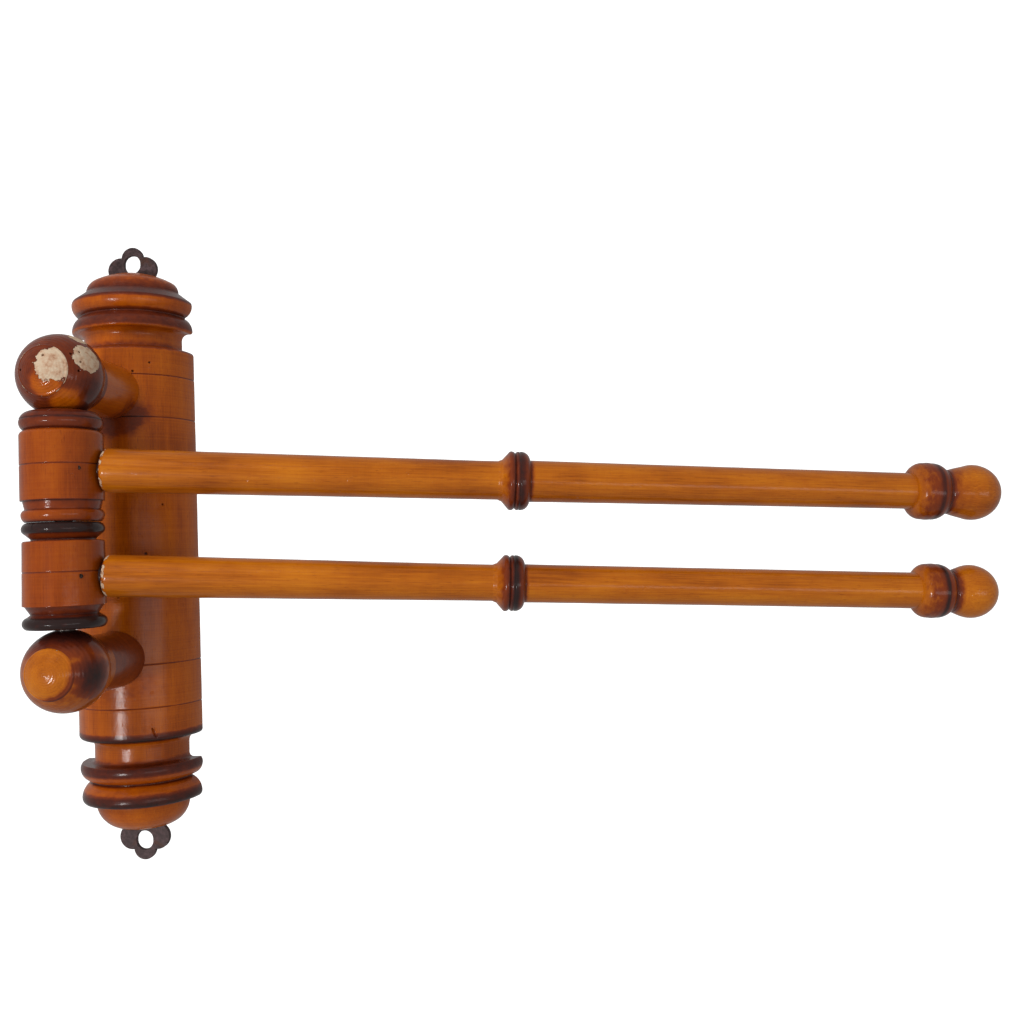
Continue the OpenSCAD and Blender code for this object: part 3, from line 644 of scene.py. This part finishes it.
def worn_steel(name, dull):
    """Steel with fine scratches. dull is from 0, bright, to 1, brown with rust."""
    colour = bpy.context.scene.rail_colours.steel
    material, output = new_material(name)
    m = material
    scratch = stretched_noise(m, (900, 900, 5200), 4, 0.6, 4)
    rust = stretched_noise(m, (520, 520, 520), 5, 0.7, 6)
    shade = 1 - 0.7 * dull
    base = ramp(m, scratch, [(0.35, tinted(colour, (0.7 * shade,) * 3)),
                             (0.65, tinted(colour, (shade,) * 3))])
    stain = ramp(m, rust, [(0.62 - 0.25 * dull, (0, 0, 0)), (0.76 - 0.25 * dull, (1, 1, 1))])
    base = mixed(m, stain, base, (0.035, 0.016, 0.010))
    rough = sums(m, "MULTIPLY_ADD", stain, 0.35, 0.25 + 0.2 * dull)
    relief = sums(m, "MULTIPLY_ADD", rust, 0.05, sums(m, "MULTIPLY", scratch, 0.02))
    bump = wire(m, "ShaderNodeBump", {"Height": relief, "Strength": 0.8, "Distance": MM})
    shader = wire(m, "ShaderNodeBsdfPrincipled", {
        "Base Color": base, "Roughness": rough, "Metallic": 0.9, "Normal": bump.outputs[0]})
    m.node_tree.links.new(shader.outputs[0], output.inputs["Surface"])
    return material


# ---------------------------------------------------------------- where pieces stand


def peg_height(peg):
    """How high a peg stands, which its screw shows."""
    low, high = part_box(f"{peg}_screw")
    return (low.z + high.z) / 2


def peg_place(peg):
    """The frame of a peg: on the wall behind it, height counted out from the wall."""
    out = Matrix.Rotation(math.radians(90), 4, "X")
    return Matrix.Translation((0, 0, peg_height(peg))) @ out


def end_ball_centre(node):
    """The middle of an arm's end ball, fitted to the outermost points of the arm."""
    points = np.array([v.co for v in NODES[node].data.vertices], float)
    away = np.linalg.norm(points[:, :2] - np.array(AXLE)[:2], axis=1)
    cap = points[away > away.max() - 12 * MM]
    table = np.hstack([2 * cap, np.ones((len(cap), 1))])
    return Vector(np.linalg.lstsq(table, (cap**2).sum(1), rcond=None)[0][:3])


def arm_place(node):
    """The frame of an arm: on the axle, height counted along the arm."""
    droop = bpy.context.scene.rail_detail.arm_droop
    ball = end_ball_centre(node)
    level = math.hypot(ball.x - AXLE.x, ball.y - AXLE.y)
    root = Vector((AXLE.x, AXLE.y, ball.z + level * math.tan(droop)))
    fold = math.atan2(ball.y - AXLE.y, ball.x - AXLE.x)
    turn = Matrix.Rotation(fold, 4, "Z") @ Matrix.Rotation(math.pi / 2 + droop, 4, "Y")
    return Matrix.Translation(root) @ turn, fold


def hub_place(node, fold):
    """The frame of a hub: on the axle at the hub's underside, facing along its arm."""
    low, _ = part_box(node)
    return Matrix.Translation((AXLE.x, AXLE.y, low.z)) @ Matrix.Rotation(fold, 4, "Z")


# ---------------------------------------------------------------- operators


class RAIL_OT_turn_post(Operator):
    """Turns the half-round post, lets in the plates and pegs, and varnishes it"""

    bl_idname = "rail.turn_post"
    bl_label = "Turn the post"

    def execute(self, context):
        detail = context.scene.rail_detail
        cut, _ = half_section("wall_post", Matrix.Identity(4), math.radians(-35))
        outer = cut[cut[:, 0] > PLATE_POCKET]
        if outer[0, 1] < outer[-1, 1]:
            outer = outer[::-1]
        top, bottom = (0, POST_HIGH.z), (0, POST_LOW.z)
        line = smooth_outline(np.array([top, *outer, bottom]), False, detail.easing, 2 * MM)
        post = turned("post", line, False, Matrix.Identity(4), 2 * detail.facets, half=True,
                      uneven=detail.unevenness, seed=1)
        lets = [blank_of("upper_hanger"), blank_of("lower_hanger"), self.chip()]
        for peg in ("upper_peg", "lower_peg"):
            depth = POST_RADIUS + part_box(peg)[1].y
            lets.append(drill((0, -POST_RADIUS - MM, peg_height(peg)), (0, 1, 0),
                              detail.peg_tenon / 2, depth + MM, 48))
        for height, turn in ((92.6, 36), (87.8, 21), (19.2, 45), (-5.8, 29), (-27.5, 4)):
            lets.append(self.worm_hole(height * MM, math.radians(turn), detail))
        carve(post, lets, [blank_of(n) for n in NODES if n.endswith("_screws")
                           or n.endswith("peg_screw")])
        self.paint(post)
        varnish = varnished_wood("amber_varnish", context.scene.rail_colours.amber, 1,
                                 coat_roughness=0.2, lathe_lines=1.5)
        hand_over(post, "wall_frame", ["wall_post"], varnish)
        return {"FINISHED"}

    @staticmethod
    def worm_hole(height, turn, detail):
        """A worm hole in the post's round front, by its height and its turn from straight ahead."""
        way = Vector((-math.sin(turn), math.cos(turn), 0))
        start = -way * (POST_RADIUS + MM) + Vector((0, 0, height))
        return drill(start, way, detail.worm_hole / 2, 3.5 * MM, 14)

    @staticmethod
    def chip():
        """The chip out of the shaft's lower edge."""
        turn = math.radians(33)
        place = (POST_RADIUS * math.sin(turn), -POST_RADIUS * math.cos(turn), -97.3 * MM)
        lean = Matrix.Rotation(math.radians(-22), 4, "Y")
        return gouge(Matrix.Translation(place) @ lean, (0.7 * MM, 1.3 * MM, 4.2 * MM))

    @staticmethod
    def paint(post):
        points = local_points(post)
        height = points[:, 2]
        burn_and_shade = bands(height, [
            (146, 0.10), (140, 0.22), (136.5, 0.42), (134.6, 0.62), (131, 0.72), (128.5, 0.66),
            (127, 0.15), (122.5, 0.18), (121, 0.65), (119.4, 0.62), (117, 0.60), (113.6, 0.60),
            (112.2, 0.12), (106, 0.10), (102.8, 0.42), (100.6, 0.42), (99.2, 0.04),
            (-97, 0.0), (-98.2, 0.55), (-101, 0.92), (-102.2, 0.85), (-103, 0.08), (-111, 0.10),
            (-113.6, 0.45), (-115, 0.72), (-118.4, 0.66), (-119.8, 0.20), (-122.8, 0.18),
            (-123.8, 0.7), (-125, 0.15), (-128, 0.18), (-130, 0.70), (-134, 0.90),
            (-135.2, 0.55), (-136.4, 0.12), (-150, 0.05)])
        # Painted shade: the post is darkened below each peg, where the peg casts its shadow.
        front = points[:, 1] < -20
        for peg, strength in (("upper_peg", 0.40), ("lower_peg", 0.22)):
            middle = peg_height(peg) / MM
            away = np.hypot(points[:, 0] - 1.5, height - middle + 6)
            below = np.clip((middle - 2 - height) / 8, 0, 1)
            burn_and_shade += front * below * strength * np.clip((21.5 - away) / 6, 0, 1)
            for scribed in (9, -13) if peg == "upper_peg" else (-3.5, -25.5):
                burn_and_shade += 0.42 * np.clip(1.4 - np.abs(height - middle - scribed) / 0.36, 0, 1)
        brush(post, "burn_and_shade", burn_and_shade)
        edge = np.clip(1 - np.abs(height + 100.4) / 1.2, 0, 1) * 0.36
        brush(post, "wear_and_sheen", edge)


class RAIL_OT_turn_pegs(Operator):
    """Turns the two ball-ended pegs, one worn and one sound"""

    bl_idname = "rail.turn_pegs"
    bl_label = "Turn the pegs"

    def execute(self, context):
        colours = context.scene.rail_colours
        for side, seed in (("upper", 2), ("lower", 5)):
            peg = self.turn(context, side, seed)
            getattr(self, f"paint_{side}")(peg)
            colour = colours.amber if side == "upper" else colours.honey
            varnish = varnished_wood(f"{side}_peg_varnish", colour, seed,
                                     coat_roughness=0.11, lathe_lines=0.6, ringed=True)
            hand_over(peg, "wall_frame", [f"{side}_peg"], varnish)
        return {"FINISHED"}

    @staticmethod
    def turn(context, side, seed):
        detail = context.scene.rail_detail
        node = f"{side}_peg"
        place = peg_place(node)
        line, closed = half_section(node, place, 0)
        line = smooth_outline(line, closed, detail.easing, 1.5 * MM)
        peg = turned(f"{side}_peg_turning", line, closed, place, 2 * detail.facets,
                     uneven=detail.unevenness, seed=seed)
        tenon, neck = detail.peg_tenon / 2, 13 * MM
        for vert in peg.data.vertices:
            x, y, z = vert.co
            away = math.hypot(x, y)
            saddle = math.sqrt(POST_RADIUS**2 - min(x * x, 0.9 * POST_RADIUS**2))
            if away > tenon + 0.1 * MM and z < saddle:
                vert.co.z = saddle + 0.02 * MM * (away > neck)
        cutters = [blank_of("axle_rod")]
        if side == "upper":
            cutters += RAIL_OT_turn_pegs.worm_holes(place, detail)
        carve(peg, cutters)
        return peg

    @staticmethod
    def worm_holes(place, detail):
        """Worm holes in the ball, each by its direction from the ball's middle."""
        radius = (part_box("upper_peg")[1].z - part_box("upper_peg")[0].z) / 2
        middle = Vector((0, 0, -AXLE.y))
        holes = []
        for way in ((0.80, 0.20, 0.56), (0.78, -0.02, 0.62), (0.74, 0.45, 0.50),
                    (0.62, 0.38, 0.68), (-0.40, -0.48, 0.78), (0.86, -0.18, -0.48)):
            way = Vector(way).normalized()
            start = place @ (middle + way * (radius + MM))
            holes.append(drill(start, place.to_3x3() @ -way, detail.worm_hole / 2, 4 * MM, 14))
        for x, y in ((1.5, 6.3), (-9.8, 0.5)):
            start = place @ (middle + Vector((x * MM, y * MM, radius + MM)))
            holes.append(drill(start, place.to_3x3() @ Vector((0, 0, -1)),
                               detail.worm_hole / 2, 7 * MM, 14))
        return holes

    @staticmethod
    def paint_upper(peg):
        points = local_points(peg)
        out = points[:, 2]
        middle = (0, 0, -AXLE.y / MM)
        face = out > PEG_FACE
        wear_and_sheen = 0.95 * spot(points, middle, (0.88, 0.33, 0.36), 15, 16)
        wear_and_sheen = np.maximum(wear_and_sheen, 0.80 * spot(points, middle, (0.50, 0.86, 0.10), 8, 16))
        wear_and_sheen = np.maximum(wear_and_sheen, 0.66 * spot(points, middle, (0.84, -0.20, -0.49), 8, 9))
        away = np.hypot(points[:, 0] - 5.2, points[:, 1] - 2.4)
        wear_and_sheen = np.where(face, 0.82 * np.clip((12.2 - away) / 6.5, 0, 1), wear_and_sheen)
        rim = np.clip(1 - np.abs(np.hypot(points[:, 0], points[:, 1]) - 11.6) / 0.9, 0, 1)
        wear_and_sheen = np.maximum(wear_and_sheen, 0.56 * rim * face)
        brush(peg, "wear_and_sheen", wear_and_sheen)
        burn_and_shade = np.full(len(points), 0.52)
        burn_and_shade -= 0.54 * spot(points, middle, (0.45, -0.72, 0.52), 12, 16) * ~face
        golden = np.hypot(points[:, 0] - 2.0, points[:, 1] + 6.0)
        burn_and_shade -= 0.56 * np.clip((8.5 - golden) / 5, 0, 1) * face
        burn_and_shade += 0.22 * spot(points, middle, (0.72, -0.62, 0.1), 16, 22) * ~face
        burn_and_shade = np.where(out < 62, 0.04, burn_and_shade)
        # Painted shade on the underside of the neck, close to the post.
        below = np.clip(-points[:, 1] / 8, 0, 1)
        burn_and_shade += 0.34 * np.clip((44 - out) / 8, 0, 1) * below
        brush(peg, "burn_and_shade", burn_and_shade)

    @staticmethod
    def paint_lower(peg):
        points = local_points(peg)
        out, up = points[:, 2], points[:, 1]
        middle = (0, 0, -AXLE.y / MM)
        face = out > PEG_FACE
        burn_and_shade = 0.26 + 0.5 * np.clip((up - 6) / 9, 0, 1) * (out > 60)
        ripple = 3 * np.sin(0.5 * up) + 2 * np.sin(0.9 * points[:, 0] + up)
        dark = spot(points, middle, (0.90, -0.10, 0.42), 9, 26 + ripple)
        burn_and_shade += 0.62 * dark * (out > 60)
        away = np.hypot(points[:, 0], up)
        burn_and_shade = np.where(face, 0.0, burn_and_shade)
        edge = np.clip((away - 8) / 3.6, 0, 1) * np.clip((points[:, 0] - up) / 12, 0, 1)
        burn_and_shade += 0.6 * face * edge
        burn_and_shade += np.where(out < 60, 0.2, 0)
        brush(peg, "burn_and_shade", burn_and_shade)
        brush(peg, "wear_and_sheen", 0.3 * face * np.clip(1 - np.abs(away - 11.7) / 0.7, 0, 1))


class RAIL_OT_turn_hubs(Operator):
    """Turns the two hubs with their rings, and bores them for the arms and brads"""

    bl_idname = "rail.turn_hubs"
    bl_label = "Turn the hubs"

    def execute(self, context):
        detail = context.scene.rail_detail
        for side, seed in (("upper", 8), ("lower", 12)):
            node = f"{side}_hub"
            arm, fold = arm_place(f"{side}_arm")
            place = hub_place(node, fold)
            line, closed = half_section(node, place, math.pi)
            line = smooth_outline(line, closed, detail.easing, 1.2 * MM)
            hub = turned(f"{side}_hub_turning", line, closed, place, 2 * detail.facets,
                         uneven=0.7 * detail.unevenness, seed=seed)
            tenon_start = arm @ Vector((0, 0, 6 * MM))
            way = arm.to_3x3() @ Vector((0, 0, 1))
            cutters = [drill(tenon_start, way, detail.arm_tenon / 2, 20 * MM, 48)]
            if side == "lower":
                cutters.append(self.crack(place))
            carve(hub, cutters, [blank_of(f"{side}_arm_brad")])
            getattr(self, f"paint_{side}")(hub)
            varnish = varnished_wood(f"{side}_hub_varnish", context.scene.rail_colours.russet,
                                     seed, coat_roughness=0.12, lathe_lines=0.9)
            hand_over(hub, f"{side}_swing", [node], varnish)
        return {"FINISHED"}

    @staticmethod
    def crack(place):
        """A split across the lower hub's dark top ring."""
        low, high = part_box("lower_hub")
        radius = (high.z - low.z) * 0.377
        turn = math.radians(-118)
        at = Vector((radius * math.cos(turn), radius * math.sin(turn), high.z - low.z))
        lean = Matrix.Rotation(turn, 4, "Z") @ Matrix.Rotation(math.radians(8), 4, "X")
        return gouge(place @ Matrix.Translation(at) @ lean, (3.2 * MM, 0.2 * MM, 3.4 * MM))

    @staticmethod
    def paint_upper(hub):
        height = local_points(hub)[:, 2]
        brush(hub, "burn_and_shade", bands(height, [
            (0, 0.75), (0.6, 0.42), (1.4, 0.10), (4.6, 0.10), (5.4, 0.6), (6.2, 0.36),
            (8.9, 0.36), (9.6, 0.75), (10.2, 0.10), (25.5, 0.08), (25.8, 0.50), (26.2, 0.50),
            (26.5, 0.08), (41.0, 0.06), (41.8, 0.40), (42.3, 0.72),
            (43.2, 0.45), (46.2, 0.52), (47.2, 0.80), (48.0, 0.58), (51, 0.66)]))
        brush(hub, "wear_and_sheen", bands(height, [(42.5, 0), (43.5, 0.10), (51, 0.16)]))

    @staticmethod
    def paint_lower(hub):
        height = local_points(hub)[:, 2]
        brush(hub, "burn_and_shade", bands(height, [
            (0, 0.96), (5.3, 0.98), (5.8, 0.62), (6.8, 0.75), (8, 0.52), (10.2, 0.58),
            (10.8, 0.16), (12, 0.08), (25.5, 0.08), (25.8, 0.50), (26.2, 0.50), (26.5, 0.08),
            (39.4, 0.08), (40.2, 0.4), (41, 0.8), (41.6, 0.42),
            (43.2, 0.45), (43.9, 0.96), (48.4, 0.98)]))
        brush(hub, "wear_and_sheen", np.zeros(len(height)))


class RAIL_OT_turn_arms(Operator):
    """Turns the two long arms with their collars and end balls"""

    bl_idname = "rail.turn_arms"
    bl_label = "Turn the arms"

    def execute(self, context):
        detail = context.scene.rail_detail
        for side, seed in (("upper", 15), ("lower", 19)):
            node = f"{side}_arm"
            place, _ = arm_place(node)
            line, closed = half_section(node, place, math.radians(40))
            line = smooth_outline(line, closed, detail.easing, 3 * MM)
            arm = turned(f"{side}_arm_turning", line, closed, place, detail.facets,
                         uneven=1.3 * detail.unevenness, seed=seed)
            cutters = [blank_of(f"{side}_arm_brad")]
            if side == "upper":
                start = place @ Vector((-9 * MM, 7 * MM, 250 * MM))
                way = place.to_3x3() @ Vector((0.78, -0.62, 0))
                cutters.append(drill(start, way, detail.worm_hole / 2, 5 * MM, 14))
            carve(arm, cutters)
            self.paint(arm, line, side)
            varnish = varnished_wood(f"{side}_arm_varnish", context.scene.rail_colours.honey,
                                     seed, coat_roughness=0.16, lathe_lines=0.35, fibrous=0.34)
            hand_over(arm, f"{side}_swing", [node], varnish)
        return {"FINISHED"}

    @staticmethod
    def paint(arm, line, side):
        """Burns the middle collar's beads and the end collar, found from the outline."""
        along = local_points(arm)[:, 2]
        height, radius = line[:, 1] / MM, line[:, 0] / MM
        middle = (height > 150) & (height < 260)
        crest = height[middle][radius[middle].argmax()]
        far = (height > 300) & (height < height.max() - 30)
        rim = height[far][radius[far].argmax()]
        tip = height.max()
        dark = 1.0 if side == "lower" else 0.86
        # Painted shade: the dark band from 18.2 to 19.6 mm is the shadow in the gap where the arm
        # meets its hub; the other dark bands are blackened beads and collars.
        brush(arm, "burn_and_shade", bands(along, [
            (0, 0.3), (18.2, 0.95), (18.9, 0.85), (19.6, 0.10), (23, 0.03), (crest - 6, 0.05),
            (crest - 3.0, 0.22), (crest - 0.8, 0.42), (crest + 0.8, 0.55), (crest + 1.5, 0.82),
            (crest + 2.4, 0.62 * dark), (crest + 3.5, 0.9 * dark), (crest + 3.9, dark),
            (crest + 5.2, 0.92 * dark), (crest + 7, 0.42), (crest + 8.9, 0.5),
            (crest + 10, 0.10), (crest + 12, 0.04), (rim - 9, 0.06), (rim - 7, 0.22),
            (rim - 4, 0.34), (rim + 0.6, 0.40), (rim + 1.8, 0.55), (rim + 2.6, 0.9 * dark),
            (rim + 3.6, 0.9 * dark), (rim + 4.6, 0.45), (rim + 7.2, 0.5), (rim + 8.2, 0.72),
            (rim + 9.4, 0.62), (tip - 26, 0.34), (tip - 20, 0.10), (tip, 0.05)]))
        # Painted sheen: the pale band from 19 to 21 mm stands in for the gloss on the rounded
        # shoulder at the root.
        brush(arm, "wear_and_sheen", bands(along, [
            (18.7, 0), (19.1, 0.60), (20.4, 0.56), (21.4, 0.1), (22, 0), (tip, 0)]))


class RAIL_OT_finish_ironwork(Operator):
    """Gives the hanging plates, screws, brads and axle their metal and softened edges"""

    bl_idname = "rail.finish_ironwork"
    bl_label = "Finish the ironwork"

    def execute(self, context):
        iron = patinated_iron()
        dull = worn_steel("rusted_steel", 1.0)
        bright = worn_steel("axle_steel", 0.2)
        for node in ("upper_hanger", "lower_hanger"):
            self.dress(node, iron, 0.35 * MM)
        for node in ("upper_hanger_screws", "lower_hanger_screws", "upper_peg_screw",
                     "lower_peg_screw", "upper_arm_brad", "lower_arm_brad"):
            self.dress(node, dull, 0.12 * MM)
        self.dress("axle_rod", bright, 0.3 * MM)
        return {"FINISHED"}

    @staticmethod
    def dress(node, material, width):
        piece = NODES[node]
        piece.data.materials.clear()
        piece.data.materials.append(material)
        weld = piece.modifiers.new("joined", "WELD")
        weld.merge_threshold = 0.002 * MM
        bevel = piece.modifiers.new("softened", "BEVEL")
        bevel.width, bevel.segments = width, 2
        bevel.limit_method, bevel.angle_limit = "ANGLE", math.radians(40)


class RAIL_OT_set_stage(Operator):
    """Lays the pale floor, hangs the lamps and places the camera"""

    bl_idname = "rail.set_stage"
    bl_label = "Set the stage"

    def execute(self, context):
        setup = context.scene.rail_studio
        self.floor(setup)
        self.world(context)
        middle = Vector((0.2, -0.03, 0))
        for name, turn, rise, away, size, power in (
                ("window_right", 38, -8, 1.5, (1.2, 0.24), 2.1),
                ("window_left", -25, -13, 1.5, (0.20, 0.12), 6.5),
                ("key_above", -22, 38, 1.4, (0.7, 0.7), 10.0)):
            self.lamp(name, middle, turn, rise, away, size, power * setup.lamp_power)
        camera = bpy.data.objects.new("camera", bpy.data.cameras.new("camera"))
        context.scene.collection.objects.link(camera)
        camera.location = setup.camera_place
        camera.rotation_euler = setup.camera_turn
        camera.data.lens = setup.lens
        camera.data.clip_start = 0.01
        context.scene.camera = camera
        context.scene.view_settings.view_transform = "Standard"
        return {"FINISHED"}

    @staticmethod
    def floor(setup):
        """A floor that sweeps up into a backdrop behind the rail."""
        low = CAD_BOX[0].z - setup.floor_drop
        back, bend = 1.6, 0.6
        line = [(-2.5, low)] + [
            (back - bend + bend * math.sin(t), low + bend - bend * math.cos(t))
            for t in np.linspace(0, math.pi / 2, 17)] + [(back, low + 3.2)]
        points = [(x, y, z) for x in (-3.0, 3.4) for y, z in line]
        count = len(line)
        faces = [(i, i + 1, i + 1 + count, i + count) for i in range(count - 1)]
        mesh = bpy.data.meshes.new("sweep")
        mesh.from_pydata(points, [], faces)
        mesh.shade_smooth()
        sweep = bpy.data.objects.new("sweep", mesh)
        bpy.context.scene.collection.objects.link(sweep)
        material, output = new_material("pale_floor")
        fleck = stretched_noise(material, (40, 40, 40), 3, 0.5, 1)
        tone = ramp(material, fleck, [(0.3, (0.90, 0.90, 0.89)), (0.7, (0.93, 0.93, 0.92))])
        shader = wire(material, "ShaderNodeBsdfPrincipled",
                      {"Base Color": tone, "Roughness": 0.85,
                       "Emission Color": (1, 1, 1, 1), "Emission Strength": 0.75})
        material.node_tree.links.new(shader.outputs[0], output.inputs["Surface"])
        mesh.materials.append(material)
        sweep.visible_glossy = sweep.visible_diffuse = False

    @staticmethod
    def world(context):
        """Even pale light from all round."""
        world = bpy.data.worlds.new("soft_daylight")
        world.use_nodes = True
        sky = world.node_tree.nodes["Background"]
        sky.inputs["Color"].default_value = (1.0, 1.0, 1.0, 1)
        sky.inputs["Strength"].default_value = 0.40
        context.scene.world = world

    @staticmethod
    def lamp(name, middle, turn, rise, away, size, power):
        """A soft lamp, turned to the right of straight ahead and raised, in degrees."""
        data = bpy.data.lights.new(name, "AREA")
        data.shape, data.size, data.size_y, data.energy = "RECTANGLE", *size, power
        lamp = bpy.data.objects.new(name, data)
        bpy.context.scene.collection.objects.link(lamp)
        turn, rise = math.radians(turn), math.radians(rise)
        way = Vector((math.sin(turn) * math.cos(rise), -math.cos(turn) * math.cos(rise),
                      math.sin(rise)))
        lamp.location = middle + way * away
        lamp.rotation_euler = (-way).to_track_quat("-Z", "Y").to_euler()
        lamp.visible_camera = False
        lamp.visible_glossy = name != "key_above"


# ---------------------------------------------------------------- panel and running


OPERATORS = (RAIL_OT_set_stage, RAIL_OT_turn_post, RAIL_OT_turn_pegs, RAIL_OT_turn_hubs,
             RAIL_OT_turn_arms, RAIL_OT_finish_ironwork)


class RAIL_PT_workshop(Panel):
    """The rail's steps and sizes in the sidebar"""

    bl_idname = "RAIL_PT_workshop"
    bl_label = "Towel rail"
    bl_space_type = "VIEW_3D"
    bl_region_type = "UI"
    bl_category = "Towel rail"

    def draw(self, context):
        for operator in OPERATORS:
            self.layout.operator(operator.bl_idname)
        for group in ("rail_colours", "rail_detail", "rail_studio"):
            settings = getattr(context.scene, group)
            box = self.layout.box()
            for name in settings.__annotations__:
                box.prop(settings, name)


CLASSES = (VarnishColours, TurningDetail, StudioSetup, *OPERATORS, RAIL_PT_workshop)


def register():
    for item in CLASSES:
        bpy.utils.register_class(item)
    bpy.types.Scene.rail_colours = PointerProperty(type=VarnishColours)
    bpy.types.Scene.rail_detail = PointerProperty(type=TurningDetail)
    bpy.types.Scene.rail_studio = PointerProperty(type=StudioSetup)


def unregister():
    del bpy.types.Scene.rail_colours
    del bpy.types.Scene.rail_detail
    del bpy.types.Scene.rail_studio
    for item in reversed(CLASSES):
        bpy.utils.unregister_class(item)


def main():
    register()
    bpy.ops.rail.set_stage()
    bpy.ops.rail.turn_post()
    bpy.ops.rail.turn_pegs()
    bpy.ops.rail.turn_hubs()
    bpy.ops.rail.turn_arms()
    bpy.ops.rail.finish_ironwork()
    bpy.context.view_layer.update()


if __name__ == "__main__":
    main()
